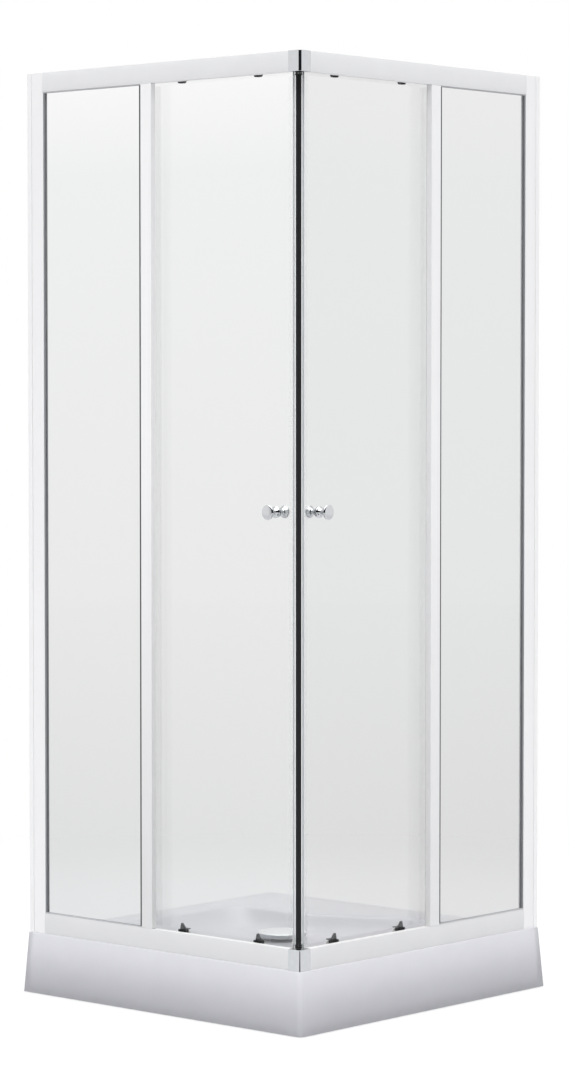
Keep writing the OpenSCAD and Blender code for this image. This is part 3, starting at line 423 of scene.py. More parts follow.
# Feet: six threaded rods with a nut above and below each tube, so that the tray can be
# levelled, each standing in a moulded rubber pad.
def extent(verts):
    """The lowest and highest corner of some vertices."""
    return (Vector([min(v.co[i] for v in verts) for i in range(3)]),
            Vector([max(v.co[i] for v in verts) for i in range(3)]))


def solids(node):
    """The lowest and highest corner of each separate solid of a CAD node."""
    bm = bmesh.new()
    bm.from_mesh(frame["nodes"][node].data)
    bmesh.ops.remove_doubles(bm, verts=bm.verts, dist=2e-6)
    found, todo = [], set(bm.verts)
    while todo:
        group, queue = set(), [todo.pop()]
        while queue:
            vert = queue.pop()
            group.add(vert)
            for edge in vert.link_edges:
                other = edge.other_vert(vert)
                if other in todo:
                    todo.discard(other)
                    queue.append(other)
        found.append(extent(group))
    bm.free()
    return sorted(found, key=lambda box: tuple(round(c, 5) for c in box[0]))


def full_turn(n):
    """The angles of n points round a circle."""
    return [2 * math.pi * k / n for k in range(n)]


def turn(bm, profile, place, segments=32):
    """Adds a turned solid: profile is its radii and heights from the lower end to the upper."""
    rings = []
    for r, h in profile:
        if r < 1e-7:
            rings.append([bm.verts.new(place @ Vector((0, 0, h)))])
        else:
            rings.append([bm.verts.new(place @ Vector((r * math.cos(a), r * math.sin(a), h)))
                          for a in full_turn(segments)])
    for low, high in zip(rings, rings[1:]):
        for k in range(segments):
            j = (k + 1) % segments
            corners = [low[k % len(low)], low[j % len(low)], high[j % len(high)], high[k % len(high)]]
            corners = list(dict.fromkeys(corners))
            if len(corners) > 2:
                bm.faces.new(corners).smooth = True
    return rings


def rounded_section(points, r, n=3):
    """An open profile with its inner corners rounded by r."""
    out = [points[0]]
    for a, b, c in zip(points, points[1:], points[2:]):
        a, b, c = Vector(a), Vector(b), Vector(c)
        u, v = a - b, c - b
        size = min(r, 0.45 * u.length, 0.45 * v.length)
        p, q = b + u.normalized() * size, b + v.normalized() * size
        for k in range(n + 1):
            t = k / n
            out.append(tuple(p * (1 - t) ** 2 + b * (2 * t * (1 - t)) + q * t * t))
    out.append(points[-1])
    return out


def crisp(obj, degrees=35):
    """Keeps edges steeper than this crisp in the shading."""
    bm = bmesh.new()
    bm.from_mesh(obj.data)
    for edge in bm.edges:
        edge.smooth = len(edge.link_faces) != 2 or edge.calc_face_angle() < math.radians(degrees)
    bm.to_mesh(obj.data)
    bm.free()
    return obj


thread_pitch, thread_depth = 2 * MM, 0.7 * MM
around, rows_per_turn = 12, 4
bm = bmesh.new()
for low, high in solids("foot_rods"):
    mid = (low + high) / 2
    rod_r = (high.x - low.x) / 2
    rows = int((high.z - low.z) / thread_pitch * rows_per_turn)
    grid = []
    for i in range(rows + 1):
        z = low.z + (high.z - low.z) * i / rows
        ring = []
        for k, a in enumerate(full_turn(around)):
            turns = (z - low.z) / thread_pitch - k / around
            r = rod_r - thread_depth * abs(2 * (turns % 1) - 1)
            ring.append(bm.verts.new((mid.x + r * math.cos(a), mid.y + r * math.sin(a), z)))
        grid.append(ring)
    bridge(bm, grid)
    bm.faces.new(grid[0][::-1])
    bm.faces.new(grid[-1])
piece("threaded_rods", bm, zinc, "cabin", "foot_rods")
softened("foot_nuts", "levelling_nuts", 0.5 * MM, zinc)


def grained(name, sockets, codes, size, detail=2.0, rough=None, relief=None):
    """A finish of two close tones in grains of this size, drawn coarser where the real ones are
    too fine to show. Where they are given, rough is its least and most roughness, and relief
    the strength and the depth of its bumps."""
    material, shader, tree = finish(name, sockets)
    here = add(tree, "TexCoord")
    grain = add(tree, "TexNoise", {"Vector": here.outputs["Object"], "Scale": 1 / size, "Detail": detail})
    grain = grain.outputs["Fac"]
    colour = add(tree, "Mix", {0: grain, 6: tone(codes[0]), 7: tone(codes[1])})
    wire(shader, {"Base Color": colour.outputs[2]})
    if rough:
        gloss = add(tree, "MapRange", {"Value": grain, "To Min": rough[0], "To Max": rough[1]})
        wire(shader, {"Roughness": gloss.outputs[0]})
    if relief:
        bumps = add(tree, "Bump", {"Height": grain, "Strength": relief[0], "Distance": relief[1]})
        wire(shader, {"Normal": bumps.outputs[0]})
    return material


# Black rubber, dull, with a fine mould grain drawn 1.5 mm apart.
rubber = grained("moulded_rubber", {"Roughness": 0.75, "IOR": 1.52}, ("#26272A", "#323337"), 1.5 * MM,
                 relief=(0.25, 0.2 * MM))
bm = bmesh.new()
for low, high in solids("foot_pads"):
    mid, tall, r = (low + high) / 2, high.z - low.z, (high.x - low.x) / 2
    profile = [(0, 0), (r * 0.8, 0), (r * 0.84, 0.6 * MM), (r * 0.92, 0.6 * MM), (r * 0.95, 0),
               (r * 0.98, 0), (r, 1 * MM), (r, tall * 0.45), (r * 0.93, tall * 0.6),
               (r * 0.66, tall * 0.66), (r * 0.6, tall * 0.75), (r * 0.58, tall * 0.95),
               (r * 0.54, tall), (0, tall)]
    turn(bm, profile, Matrix.Translation((mid.x, mid.y, low.z)), 40)
piece("rubber_pads", bm, rubber, "cabin", "foot_pads")


# Waste: a chrome plated brass flange let into the basin floor and sealed by a rubber ring,
# with a trap of white polypropylene under it. A union nut holds the outlet pipe.
metal = {"Metallic": 1.0}
water_mark = 12 * MM
# Satin chrome plate, dulled in spots by water marks.
satin = grained("satin_chrome_plate", metal, ("#DFE0E2", "#E7E8EA"), water_mark, 4.0, rough=(0.3, 0.4))
low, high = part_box("waste_flange")
mid = (low + high) / 2
flange_r, tube_r, wall = (high.x - low.x) / 2, 29.5 * MM, 3 * MM
floor_z = rim_z - basin_depth
bore_r = tube_r - wall
profile = rounded_section([(bore_r, low.z), (tube_r, low.z), (tube_r, floor_z), (flange_r, floor_z),
                           (flange_r, high.z - 1 * MM), (flange_r - 2 * MM, high.z),
                           (bore_r + 3 * MM, high.z - 0.6 * MM), (bore_r, high.z - 3 * MM),
                           (bore_r, low.z)], 0.8 * MM)
bm = bmesh.new()
turn(bm, profile, Matrix.Translation((mid.x, mid.y, 0)), 64)
bmesh.ops.remove_doubles(bm, verts=bm.verts, dist=1e-7)
crisp(piece("drain_flange", bm, satin, "cabin", "waste_flange"))
softened("waste_gasket", "drain_seal", 0.6 * MM, rubber)

# White polypropylene lets a little light in. Its spark eroded grain is drawn 1.2 mm apart.
scatter = (2 * MM, 2 * MM, 2 * MM)
plastic = grained("white_polypropylene", {"Roughness": 0.42, "IOR": 1.49, "Subsurface Weight": 0.05,
                  "Subsurface Radius": scatter}, ("#DEDFE0", "#E8E9EA"), 1.2 * MM,
                  relief=(0.15, 0.1 * MM))
softened("trap_body", "trap", 0.8 * MM, plastic)
softened("outlet_pipe", "waste_pipe", 0.6 * MM, plastic)

# Twenty grips stand round the union nut for the hand.
low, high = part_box("trap_nut")
mid, nut_l, nut_r = (low + high) / 2, high.x - low.x, (high.z - low.z) / 2
nut_bore, grips, grip_depth, nut_edge = 20.05 * MM, 20, 1.6 * MM, 0.8 * MM
outline = [nut_r - (grip_depth if k % 4 in (2, 3) else 0) for k in range(grips * 4)]
place = Matrix.Translation((low.x, mid.y, mid.z)) @ Matrix.Rotation(math.radians(90), 4, "Y")
bevelled = [r - nut_edge for r in outline]
bore = [nut_bore] * len(outline)
bm = bmesh.new()
rings = []
for h, radii in ((0, bevelled), (nut_edge, outline), (nut_l - nut_edge, outline), (nut_l, bevelled),
                 (nut_l, bore), (0, bore)):
    rings.append([bm.verts.new(place @ Vector((r * math.cos(a), r * math.sin(a), h)))
                  for r, a in zip(radii, full_turn(len(outline)))])
bridge(bm, rings + rings[:1])
piece("union_nut", bm, plastic, "cabin", "trap_nut")


# Drain cover: a domed cap of satin chrome plated plastic, moulded in one piece with the tube that
# hangs it in the waste and the four ribs under it that keep its rim above the flange.
def block(bm, low, high, place):
    """Adds a closed box between two corners."""
    low, high = Vector(low), Vector(high)
    span = Matrix.LocRotScale((low + high) / 2, None, high - low)
    bmesh.ops.create_cube(bm, size=1, matrix=place @ span)


low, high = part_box("drain_cover")
mid, cover_r, cover_h = (low + high) / 2, (high.x - low.x) / 2, high.z - floor_z
skin, edge_h, stem_r, rib_reach = 2.5 * MM, (high.z - floor_z) / 2, bore_r - 2 * MM, 38 * MM
place = Matrix.Translation((mid.x, mid.y, floor_z))
dome = [(0, cover_h - 2 * skin), (cover_r * 0.8, cover_h * 0.78), (cover_r - skin, cover_h * 0.7),
        (cover_r - skin, edge_h - skin), (cover_r, edge_h - skin), (cover_r, cover_h * 0.76),
        (cover_r * 0.97, cover_h * 0.84), (cover_r * 0.82, cover_h * 0.92),
        (cover_r * 0.55, cover_h * 0.98), (0, cover_h)]
stem = [(stem_r - skin, low.z - floor_z), (stem_r, low.z - floor_z), (stem_r, cover_h * 0.85),
        (stem_r - skin, cover_h * 0.85), (stem_r - skin, low.z - floor_z)]
bm = bmesh.new()
turn(bm, rounded_section(dome, 1.5 * MM, 4), place, 64)
turn(bm, rounded_section(stem, 0.6 * MM), place, 48)
bmesh.ops.remove_doubles(bm, verts=bm.verts, dist=1e-6)
for k in range(4):
    around = place @ Matrix.Rotation(math.pi / 2 * k, 4, "Z")
    block(bm, (stem_r - 1 * MM, -skin / 2, 2.4 * MM), (rib_reach, skin / 2, cover_h * 0.85), around)
# The skirt of the cover is a darker chrome, a painted shade, and its top a whiter, less metallic
# chrome, a painted highlight, with grains drawn 5 mm apart.
shaded_skirt_chrome = grained("worn_chrome_plate", metal, ("#AEB0B3", "#B8BABD"), water_mark, 4.0, rough=(0.3, 0.4))
highlit_top_chrome = grained("wiped_chrome_plate", {"Metallic": 0.4, "Roughness": 0.3}, ("#E9EAEB", "#F0F1F2"),
                5 * MM, 3.0)
cover = crisp(piece("domed_cover", bm, shaded_skirt_chrome, "drain_cover", "drain_cover"))
cover.data.materials.append(highlit_top_chrome)
# Upward faces near the top take the painted highlight, and the rest takes the painted shade.
for face in cover.data.polygons:
    face.material_index = int(face.normal.z > 0.4 and face.center.z > floor_z + cover_h * 0.7)


# Wall channels and posts: extruded aluminium with a white powder coat. A post slides in its
# channel to take up a wall that is out of plumb, and holds the fixed pane.
# The heights where the painted shade at the foot of a coat is deepest, and where it ends.
painted_shade_low_z, painted_shade_high_z = 0.2, 1.2


def coated(name, codes, rough, peel, foot=1.0):
    """White powder coat: two close whites in clouds of 60 mm, its roughness, the depth of its
    orange peel, drawn 0.9 mm apart, and how bright it is left at its foot, where a painted shade greys
    it."""
    material, shader, tree = finish(name, {"IOR": 1.5, "Coat Weight": 0.1, "Coat Roughness": 0.3})
    here = add(tree, "TexCoord")
    cloud = add(tree, "TexNoise", {"Vector": here.outputs["Object"], "Scale": 1 / (60 * MM)})
    grain = add(tree, "TexNoise", {"Vector": here.outputs["Object"], "Scale": 1 / (0.9 * MM),
                "Detail": 1.0})
    colour = add(tree, "Mix", {0: cloud.outputs["Fac"], 6: tone(codes[0]), 7: tone(codes[1])})
    # Painted shade: from 1.2 m down to 0.2 m the colour darkens towards the foot, to the share foot.
    level = add(tree, "SeparateXYZ", {0: here.outputs["Object"]})
    fade = add(tree, "MapRange", {"Value": level.outputs["Z"], "From Min": painted_shade_low_z, "From Max": painted_shade_high_z,
               "To Min": foot})
    colour = add(tree, "Mix", {0: 1.0, 6: colour.outputs[2], 7: fade.outputs[0]}, blend_type="MULTIPLY")
    gloss = add(tree, "MapRange", {"Value": grain.outputs["Fac"], "To Min": rough - 0.05,
                "To Max": rough + 0.05})
    relief = add(tree, "Bump", {"Height": grain.outputs["Fac"], "Strength": 0.2, "Distance": peel})
    wire(shader, {"Base Color": colour.outputs[2], "Roughness": gloss.outputs[0],
         "Normal": relief.outputs[0]})
    return material


coat = coated("white_powder_coat", ("#EEEDED", "#F1F1F0"), 0.42, 0.03 * MM)
softened("wall_channel_front", "wall_channel_left", 0.4 * MM, coat)
softened("wall_channel_side", "wall_channel_rear", 0.4 * MM, coat)
softened("side_posts", "posts", 0.5 * MM, coat)


# Rails: extruded aluminium rails above and below, white powder coated and a little glossier
# than the posts. The lower ones take a greyer copy of the coat, a painted shade. Their outer
# face bulges slightly, and the door wheels run on their ribs.
def bowed(side, rows=7):
    """Bends the outer face of a rail back by the bow towards its upper and lower edge."""
    def shape(bm):
        low, high = extent(bm.verts)
        for k in range(1, rows):
            z = low.z + (high.z - low.z) * k / rows
            bmesh.ops.bisect_plane(bm, geom=bm.verts[:] + bm.edges[:] + bm.faces[:], dist=1e-7,
                                   plane_co=(0, 0, z), plane_no=(0, 0, 1))
        for v in bm.verts:
            share = abs(2 * (v.co.z - low.z) / (high.z - low.z) - 1)
            back = rail_bow * share ** 2.5
            if side and v.co.x > high.x - 1e-5:
                v.co.x -= back
            elif not side and v.co.y < low.y + 1e-5:
                v.co.y += back
    return shape


rail_bow = 1.1 * MM
upper_coat = coated("satin_powder_coat", ("#E0E0E0", "#E5E5E5"), 0.3, 0.02 * MM)
# The coat of the lower rails is a greyer copy, a painted shade.
shaded_lower_coat = coated("grey_satin_powder_coat", ("#D9D9D9", "#DEDEDE"), 0.3, 0.02 * MM)
for name, rail_coat in (("top_rail", upper_coat), ("bottom_rail", shaded_lower_coat)):
    softened(name + "_front", name + "_left", 0.5 * MM, rail_coat, bowed(False))
    softened(name + "_side", name + "_right", 0.5 * MM, rail_coat, bowed(True))


# Corner joints: zinc castings that join the rails at the open corner, with a lip behind the
# magnets. Their polished chrome plate has the same water marks, and its rounded edges mirror
# the dark side of the room.
chrome = grained("chrome_plate", metal, ("#CDCFD2", "#D7D9DB"), water_mark, 4.0, rough=(0.05, 0.14))
leg, cap_wall, cap_r, cap_edge, plate_t = 32 * MM, 8 * MM, 5 * MM, 0.6 * MM, 3 * MM
tongue_l, tongue_overlap, tongue_back, tongue_inset = 24 * MM, 1 * MM, 1.9 * MM, 4 * MM
lip_start, lip_relief = 22 * MM, 0.1 * MM
magnet_low, magnet_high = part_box("magnet_front")
other_leg = Matrix(((0, -1, 0, 0), (-1, 0, 0, 0), (0, 0, 1, 0), (0, 0, 0, 1)))
for end, title in (("top", "upper_corner_joint"), ("bottom", "lower_corner_joint")):
    node = end + "_corner_joint"
    low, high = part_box(node)
    corner = high.x
    lip_z = low.z if end == "top" else high.z - plate_t
    bm = bmesh.new()
    rings, heights = [], []
    for a in (0, 45, 90):
        inset = cap_edge * (1 - math.sin(math.radians(a)))
        near, far = corner - inset, corner - cap_wall + inset
        start = corner - leg + inset
        plan = [(start, -near)] + arc((corner - cap_r, cap_r - corner), cap_r - inset, -90, 0, 16)
        plan += [(near, -start), (far, -start), (far, -far), (start, -far)]
        rings.append(plan)
        heights.append(cap_edge * (1 - math.cos(math.radians(a))))
    rings = rings + rings[::-1]
    heights = [low.z + h for h in heights] + [high.z - h for h in heights[::-1]]
    made = loft(bm, rings, heights)
    bm.faces.new(made[0][::-1])
    bm.faces.new(made[-1])
    for z in (low.z, high.z - plate_t):
        block(bm, (corner - leg, cap_wall / 2 - corner, z),
              (corner - cap_wall / 2, leg - corner, z + plate_t), Matrix())
    lip_end = math.sqrt(2) * (magnet_high.y + corner)
    lip_half = math.sqrt(2) * (corner - magnet_low.x) - lip_end
    inwards = Matrix.Translation((corner, -corner, 0)) @ Matrix.Rotation(math.radians(135), 4, "Z")
    block(bm, (lip_start, -lip_half, lip_z + lip_relief),
          (lip_end, lip_half, lip_z + plate_t - lip_relief), inwards)
    for turned in (Matrix(), other_leg):
        block(bm, (corner - leg - tongue_l, tongue_back - corner, low.z + tongue_inset),
              (corner - leg + tongue_overlap, cap_wall - corner, high.z - tongue_inset), turned)
    bmesh.ops.recalc_face_normals(bm, faces=bm.faces)
    for face in bm.faces:
        face.smooth = True
    weighted(crisp(piece(title, bm, chrome, "cabin", node), 50))


# Frame screws: stainless pan head screws with a cross recess, driven from the inside, so
# that none shows from the front. Fine tool marks dim their steel, drawn 0.8 mm apart.
def standing(foot, axis):
    """Places a turned solid with its foot here and its axis this way."""
    return Matrix.Translation(foot) @ axis.to_track_quat("Z", "X").to_matrix().to_4x4()


stainless = grained("stainless_steel", metal, ("#B9BCC0", "#CFD2D5"), 0.8 * MM, 3.0, rough=(0.24, 0.38))
head_h, arm, arm_w, recess_h, recess_taper = 2.5 * MM, 2.1 * MM, 0.5 * MM, 1.5 * MM, 0.3
bm = bmesh.new()
for low, high in solids("frame_screws"):
    mid, size = (low + high) / 2, high - low
    inward = Vector((0, 1, 0)) if size.y > size.x else Vector((-1, 0, 0))
    long, r = max(size.x, size.y), size.z / 2
    place = standing(mid - inward * long / 2, inward)
    under = long - head_h
    profile = [(0, 0), (r * 0.3, 0), (r * 0.5, 1.2 * MM), (r * 0.5, under), (r * 0.97, under),
               (r, under + 0.4 * MM), (r * 0.95, long - 1.1 * MM), (r * 0.85, long - 0.5 * MM),
               (r * 0.7, long - 0.1 * MM), (arm * 1.15, long)]
    ring = turn(bm, profile, place)[-1]
    cross = []
    for k in range(4):
        spin = Matrix.Rotation(math.pi / 2 * k, 4, "Z")
        cross += [place @ (spin @ Vector((x, y, long)))
                  for x, y in ((arm_w, -arm_w), (arm, -arm_w), (arm, arm_w))]
    mouth_ring = [bm.verts.new(p) for p in cross]
    top = place @ Vector((0, 0, long))
    pit = [bm.verts.new(p.lerp(top, recess_taper) - inward * recess_h) for p in cross]
    edges = [bm.edges.get((ring[k], ring[k - 1])) for k in range(len(ring))]
    edges += [bm.edges.new((mouth_ring[k], mouth_ring[k - 1])) for k in range(len(cross))]
    bmesh.ops.triangle_fill(bm, use_beauty=True, edges=edges, normal=inward)
    for k in range(len(cross)):
        bm.faces.new((mouth_ring[k - 1], mouth_ring[k], pit[k], pit[k - 1]))
    bm.faces.new(pit)
bmesh.ops.recalc_face_normals(bm, faces=bm.faces)
crisp(piece("pan_head_screws", bm, stainless, "cabin", "frame_screws"))


# Fixed panes: 5 mm toughened glass with ground edges, held in the post and the stile. The
# sheet is nearly clear at its head and darker at its foot, a painted shade.
def glazing(name, codes, heights):
    """Clear sheet, which mirrors less than real glass does: its tints from the foot to the head,
    a painted shade that darkens it towards the foot, and the heights where they stand."""
    material, shader, tree = finish(name, {"Roughness": 0.0, "IOR": 1.5, "Transmission Weight": 1.0,
                                    "Specular IOR Level": 0.2})
    here = add(tree, "TexCoord")
    level = add(tree, "SeparateXYZ", {0: here.outputs["Object"]})
    tint = None
    for low, high, code in zip(heights, heights[1:], codes[1:]):
        step = add(tree, "MapRange", {"Value": level.outputs["Z"], "From Min": low, "From Max": high})
        first = tone(codes[0]) if tint is None else tint
        tint = add(tree, "Mix", {0: step.outputs[0], 6: first, 7: tone(code)}).outputs[2]
    wire(shader, {"Base Color": tint})
    lit = add(tree, "LightPath")
    hidden = add(tree, "Math", {0: lit.outputs["Is Shadow Ray"], 1: lit.outputs["Is Diffuse Ray"]},
                 operation="MAXIMUM")
    face_tint = add(tree, "Gamma", {"Color": tint, "Gamma": 0.5})
    through = add(tree, "BsdfTransparent", {"Color": face_tint.outputs[0]})
    both = add(tree, "MixShader", {0: hidden.outputs[0], 1: shader.outputs[0], 2: through.outputs[0]})
    wire(tree.nodes["Material Output"], {"Surface": both.outputs[0]})
    return material


# The ground edges of the glass are matt and a little green, with grinding marks drawn 0.4 mm
# apart.
ground = grained("ground_glass_edge", {"Roughness": 0.5, "IOR": 1.5}, ("#C9D0CE", "#DCE2E0"),
                 0.4 * MM, 1.0)
# Heights of the painted shade in the tint of the glass.
glass_shade_z = (0.17, 0.9, 1.75, 1.94)
# The left and right sheets are lit and shaded copies of one glass, and their tints differ by painted
# light.
left_glass = glazing("left_glass", ("#DBDCDC", "#E8E9E8", "#EEEFEF", "#F8F8F8"), glass_shade_z)
right_glass = glazing("right_glass", ("#D8D8D8", "#E3E4E4", "#E6E7E7", "#EAEAEA"), glass_shade_z)
sheets = (("_front", "_left", left_glass, 1), ("_side", "_right", right_glass, 0))
for name, title in (("fixed_pane", "fixed_glass"), ("door_pane", "door_glass")):
    for sheet, hand, material, across_sheet in sheets:
        made = softened(name + sheet, title + hand, 0.4 * MM, material)
        made.data.materials.append(ground)
        for face in made.data.polygons:
            face.material_index = int(abs(face.normal[across_sheet]) < 0.95)


# Stiles: white coated aluminium uprights on the free edges of the fixed panes. A fin on the
# inside takes the seal of the door. The two are lit and shaded copies of one coat, greyed at the foot by
# a painted shade, the left one more.
right_coat = coated("stile_powder_coat", ("#EEEDED", "#F1F1F0"), 0.42, 0.03 * MM, 0.88)
left_shaded_coat = coated("left_stile_powder_coat", ("#F1F0F0", "#F4F4F3"), 0.42, 0.03 * MM, 0.8)
made = softened("fixed_stiles", "stiles", 0.5 * MM, right_coat)
made.data.materials.append(left_shaded_coat)
# Faces left of the middle take the left copy, which has the deeper painted shade.
for face in made.data.polygons:
    face.material_index = int(face.center.x < 0)


# Gaskets and stops: extruded rubber strips on both faces of the fixed panes, black at the
# stiles, grey at the posts and pale along the rails, and a rubber block in each top rail
# that stops the door.
strip, shader, tree = finish("glazing_gasket", {"Roughness": 0.55, "IOR": 1.5})
here = add(tree, "TexCoord")
level = add(tree, "SeparateXYZ", {0: here.outputs["Object"]})
foot_z, head_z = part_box("bottom_rail_front")[1].z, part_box("top_rail_front")[0].z
centre, reach = (head_z + foot_z) / 2, (head_z - foot_z) / 2
off = add(tree, "Math", {0: level.outputs["Z"], 1: centre}, operation="SUBTRACT")
off = add(tree, "Math", {0: off.outputs[0]}, operation="ABSOLUTE")
ends = add(tree, "MapRange", {"Value": off.outputs[0], "From Min": reach - 3 * MM,
           "From Max": reach - 1.5 * MM})
# Extrusion lines run along the strip, drawn 0.6 mm apart.
line = add(tree, "TexNoise", {"Vector": here.outputs["Object"], "Scale": 1 / (0.6 * MM), "Detail": 1.0})
dark = add(tree, "Mix", {0: line.outputs["Fac"], 6: tone("#303235"), 7: tone("#424447")})
# The strips at the posts are a lighter grey than those at the stiles.
post_grey = add(tree, "Mix", {0: line.outputs["Fac"], 6: tone("#77797C"), 7: tone("#8D8F92")})
leftwards = add(tree, "Math", {0: level.outputs["X"], 1: -1.0}, operation="MULTIPLY")
wallwards = add(tree, "Math", {0: leftwards.outputs[0], 1: level.outputs["Y"]}, operation="MAXIMUM")
at_post = add(tree, "Math", {0: wallwards.outputs[0], 1: half / 2}, operation="GREATER_THAN")
dark = add(tree, "Mix", {0: at_post.outputs[0], 6: dark.outputs[2], 7: post_grey.outputs[2]})
colour = add(tree, "Mix", {0: ends.outputs[0], 6: dark.outputs[2], 7: tone("#C4C5C7")})
relief = add(tree, "Bump", {"Height": line.outputs["Fac"], "Strength": 0.2, "Distance": 0.1 * MM})
wire(shader, {"Base Color": colour.outputs[2], "Normal": relief.outputs[0]})


def swollen(bm):
    """Lets the strips beside the stiles stand out a little, as they do where they are pressed."""
    stiles = solids("fixed_stiles")
    left_edge, right_edge = min(low.x for low, high in stiles), max(high.y for low, high in stiles)
    for v in bm.verts:
        if abs(v.co.x - left_edge + strip_show) < 0.1 * MM:
            v.co.x -= strip_swell
        if abs(v.co.y - right_edge - strip_show) < 0.1 * MM:
            v.co.y += strip_swell


strip_show, strip_swell = 4 * MM, 1.5 * MM
softened("pane_gaskets", "glazing_strips", 0.4 * MM, strip, swollen)
softened("rail_stops", "door_stops", 0.6 * MM, rubber)


# Door profiles: translucent PVC strips clipped on both upright edges of the door glass. The
# trailing one hooks behind the stile, the leading one carries the magnet on an arm.
pvc, shader, tree = finish("clear_pvc", {"Roughness": 0.35, "IOR": 1.52, "Specular IOR Level": 0.25})
here = add(tree, "TexCoord")
# Faint flow clouds of the extrusion, about 30 mm long.
cloud = add(tree, "TexNoise", {"Vector": here.outputs["Object"], "Scale": 1 / (30 * MM)})
colour = add(tree, "Mix", {0: cloud.outputs["Fac"], 6: tone("#E6E8E9"), 7: tone("#F0F1F2")})
haze = add(tree, "MapRange", {"Value": cloud.outputs["Fac"], "To Min": 0.02, "To Max": 0.035})
# The arm between the glass and the magnet is thicker, and milky.
axes = add(tree, "SeparateXYZ", {0: here.outputs["Object"]})
frontwards = add(tree, "Math", {0: axes.outputs["Y"], 1: -1.0}, operation="MULTIPLY")
beyond = add(tree, "Math", {0: axes.outputs["X"], 1: frontwards.outputs[0]}, operation="MINIMUM")
pane_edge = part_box("door_pane_front")[1].x
beyond = add(tree, "MapRange", {"Value": beyond.outputs[0], "From Min": pane_edge,
             "From Max": pane_edge + MM, "To Max": 0.5})
haze = add(tree, "Math", {0: haze.outputs[0], 1: beyond.outputs[0]}, operation="MAXIMUM")
wire(shader, {"Base Color": colour.outputs[2], "Alpha": haze.outputs[0]})


def slack(bm):
    """Draws the surface in by a hair, so that it lies free of the glass that it is clipped on."""
    bm.normal_update()
    for v in bm.verts:
        v.co -= v.normal * slack_gap


slack_gap = 0.06 * MM
for name in ("trailing_profile", "closing_profile"):
    softened(name + "_front", name + "_left", 0.3 * MM, pvc, slack)
    softened(name + "_side", name + "_right", 0.3 * MM, pvc, slack)


# Magnets: two flexible black magnet strips in soft sleeves that draw the doors together on
# the diagonal. Their filler dulls them in grains, drawn 1 mm apart.
magnetic = grained("magnet_strip", {"IOR": 1.5}, ("#111214", "#1E1F22"), 1 * MM, rough=(0.4, 0.6))
softened("magnet_front", "magnet_left", 0.5 * MM, magnetic)
softened("magnet_side", "magnet_right", 0.5 * MM, magnetic)


# Knobs: turned brass, polished and chrome plated, one outside and a smaller one inside each
# door, screwed to one stud. The foot is a flange, the neck narrow and the head a flat drum.
stud_bore = 3.05 * MM
knobs = (("outer_knob", "_front", "_left", (0, -1, 0)), ("outer_knob", "_side", "_right", (1, 0, 0)),
         ("inner_knob", "_front", "_left", (0, 1, 0)), ("inner_knob", "_side", "_right", (-1, 0, 0)))
for knob, side, hand, away in knobs:
    node = knob + side
    low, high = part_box(node)
    mid, size, away = (low + high) / 2, high - low, Vector(away)
    r, tall = size.z / 2, min(size.x, size.y)
    profile = [(0, tall * 0.6), (stud_bore, tall * 0.6), (stud_bore, 0), (r * 0.78, 0),
               (r * 0.78, tall * 0.09), (r * 0.6, tall * 0.16), (r * 0.44, tall * 0.34),
               (r * 0.44, tall * 0.46), (r * 0.6, tall * 0.64), (r * 0.95, tall * 0.8),
               (r, tall * 0.87), (r * 0.98, tall * 0.94), (r * 0.86, tall * 0.985),
               (r * 0.4, tall * 0.997), (0, tall)]
    bm = bmesh.new()
    turn(bm, rounded_section(profile, 1.6 * MM, 5), standing(mid - away * tall / 2, away), 64)
    crisp(piece(knob + hand, bm, chrome, frame["nodes"][node]["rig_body"], node), 50)


# Door fixings: the studs of the knobs with their washers, the axle bolts of the upper
# wheels and the bolts of the lower brackets, all stainless steel.
softened("door_fixings_front", "fixings_left", 0.35 * MM, stainless)
softened("door_fixings_side", "fixings_right", 0.35 * MM, stainless)


# Roller blocks, brackets and releases: black nylon, satin, with a spark eroded grain drawn 1 mm
# apart. The blocks hang the door on its upper wheels. Each lower wheel sits in a sprung slide
# with a finger tab to unhook the door.
nylon = grained("black_nylon", {"Roughness": 0.42, "IOR": 1.53}, ("#17181A", "#222326"), 1 * MM,
                relief=(0.2, 0.1 * MM))
for side in ("front", "side"):
    softened("roller_blocks_" + side, "hanger_blocks_" + side, 0.8 * MM, nylon)
    softened("roller_brackets_" + side, "slide_brackets_" + side, 0.4 * MM, nylon)
    for end in ("rear", "lead"):
        softened(f"release_{side}_{end}", f"wheel_slide_{side}_{end}", 0.4 * MM, nylon)


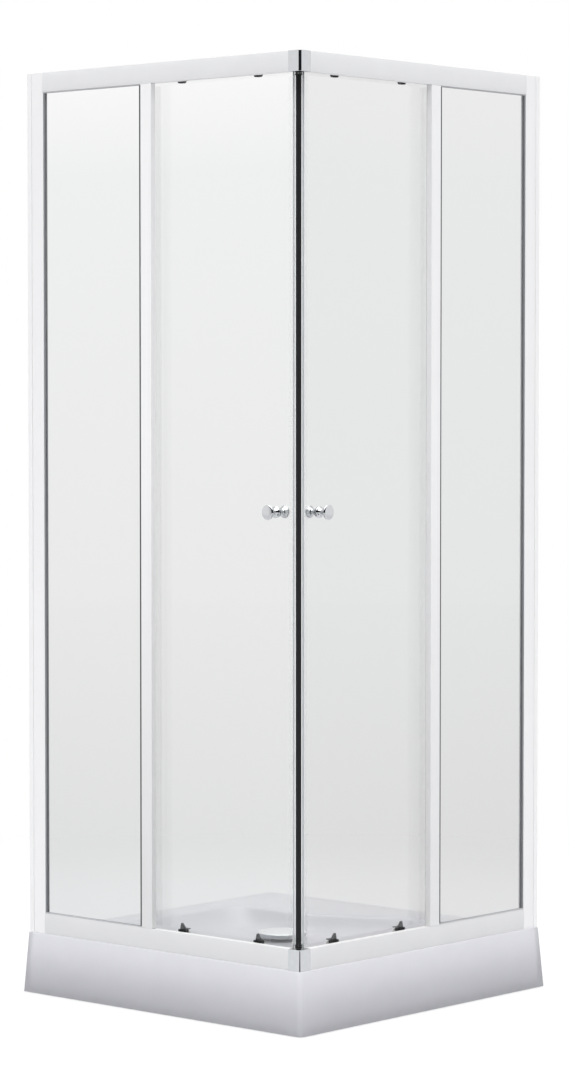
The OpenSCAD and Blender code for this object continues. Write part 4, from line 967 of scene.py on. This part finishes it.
# Wheels: grooved wheels of white acetal, which lets a little light in, that turn on the axles
# and run on the ribs of the rails. The web between hub and rim is recessed and stiffened by
# five ribs. Wear rubs them dull in spots of about 2 mm.
acetal = grained("white_acetal", {"IOR": 1.48, "Subsurface Weight": 0.1, "Subsurface Radius": scatter},
                 ("#DCDBD6", "#EAEAE7"), 2 * MM, rough=(0.28, 0.45))
axle_bore, hub_r, web_depth, wheel_edge = 2.55 * MM, 4.4 * MM, 0.8 * MM, 0.3 * MM
groove_half, groove_depth, groove_side, rim_t = 1.5 * MM, 1.6 * MM, 0.6 * MM, 1.4 * MM
around, rib_every = 60, 12
for node in [name for name in frame["nodes"] if "_wheel_" in name]:
    low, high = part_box(node)
    mid, size = (low + high) / 2, high - low
    axis = Vector((0, 1, 0)) if "_front_" in node else Vector((1, 0, 0))
    r, half_w = size.z / 2, min(size.x, size.y) / 2
    place = standing(mid, axis)
    running_r, rim_in = r - groove_depth, r - groove_depth - rim_t
    half_profile = [(running_r, -groove_half * 0.9), (r, -groove_half - groove_side),
                    (r, -half_w + wheel_edge), (r - wheel_edge, -half_w), (rim_in, -half_w),
                    (rim_in - wheel_edge, web_depth - half_w), (hub_r + wheel_edge, web_depth - half_w),
                    (hub_r, -half_w), (axle_bore + wheel_edge, -half_w), (axle_bore, wheel_edge - half_w)]
    profile = half_profile[::-1] + [(q, -h) for q, h in half_profile]
    bm = bmesh.new()
    rings = turn(bm, profile + profile[:1], place, around)
    for ring, (q, h) in zip(rings, profile):
        if abs(abs(h) - (half_w - web_depth)) < 1e-9:
            for k, (vert, a) in enumerate(zip(ring, full_turn(around))):
                if k % rib_every < 2:
                    vert.co = place @ Vector((q * math.cos(a), q * math.sin(a), math.copysign(half_w, h)))
    bmesh.ops.remove_doubles(bm, verts=bm.verts, dist=1e-7)
    title = node.replace("wheel", "roller")
    crisp(piece(title, bm, acetal, frame["nodes"][node]["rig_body"], node), 30)


# Springs: a coil of 0.9 mm wire in each slide presses its wheel onto the rib. It is held at the
# top, and closes up when the finger tab is lifted. The spring steel is grey with oil and has
# drawing marks, drawn 0.5 mm apart.
oiled = grained("spring_steel", {"Metallic": 1.0, "Roughness": 0.32}, ("#8E9296", "#B4B7BA"), 0.5 * MM)
wire_r, turns, per_turn, sides = 0.45 * MM, 6, 20, 8
for side, ends in (("front", ("rear", "lead")), ("side", ("lead", "rear"))):
    node = "roller_springs_" + side
    for end, (low, high) in zip(ends, solids(node)):
        bm = bmesh.new()
        mid, tall, r = (low + high) / 2, high.z - low.z, (high.x - low.x) / 2 - wire_r
        rings = []
        for k in range(turns * per_turn + 1):
            a, rise = 2 * math.pi * k / per_turn, k / (turns * per_turn)
            out = Vector((math.cos(a), math.sin(a), 0))
            axis = Vector((mid.x, mid.y, low.z + wire_r + (tall - 2 * wire_r) * rise)) + out * r
            rings.append([bm.verts.new(axis + out * (wire_r * math.cos(b))
                                       + Vector((0, 0, wire_r * math.sin(b))))
                          for b in full_turn(sides)])
        for lower, upper in zip(rings, rings[1:]):
            for j in range(sides):
                bm.faces.new((lower[j - 1], upper[j - 1], upper[j], lower[j])).smooth = True
        bm.faces.new(rings[0])
        bm.faces.new(rings[-1][::-1])
        bmesh.ops.recalc_face_normals(bm, faces=bm.faces)
        coil = piece(f"slide_spring_{side}_{end}", bm, oiled, frame["nodes"][node]["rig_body"],
                     node)
        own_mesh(coil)
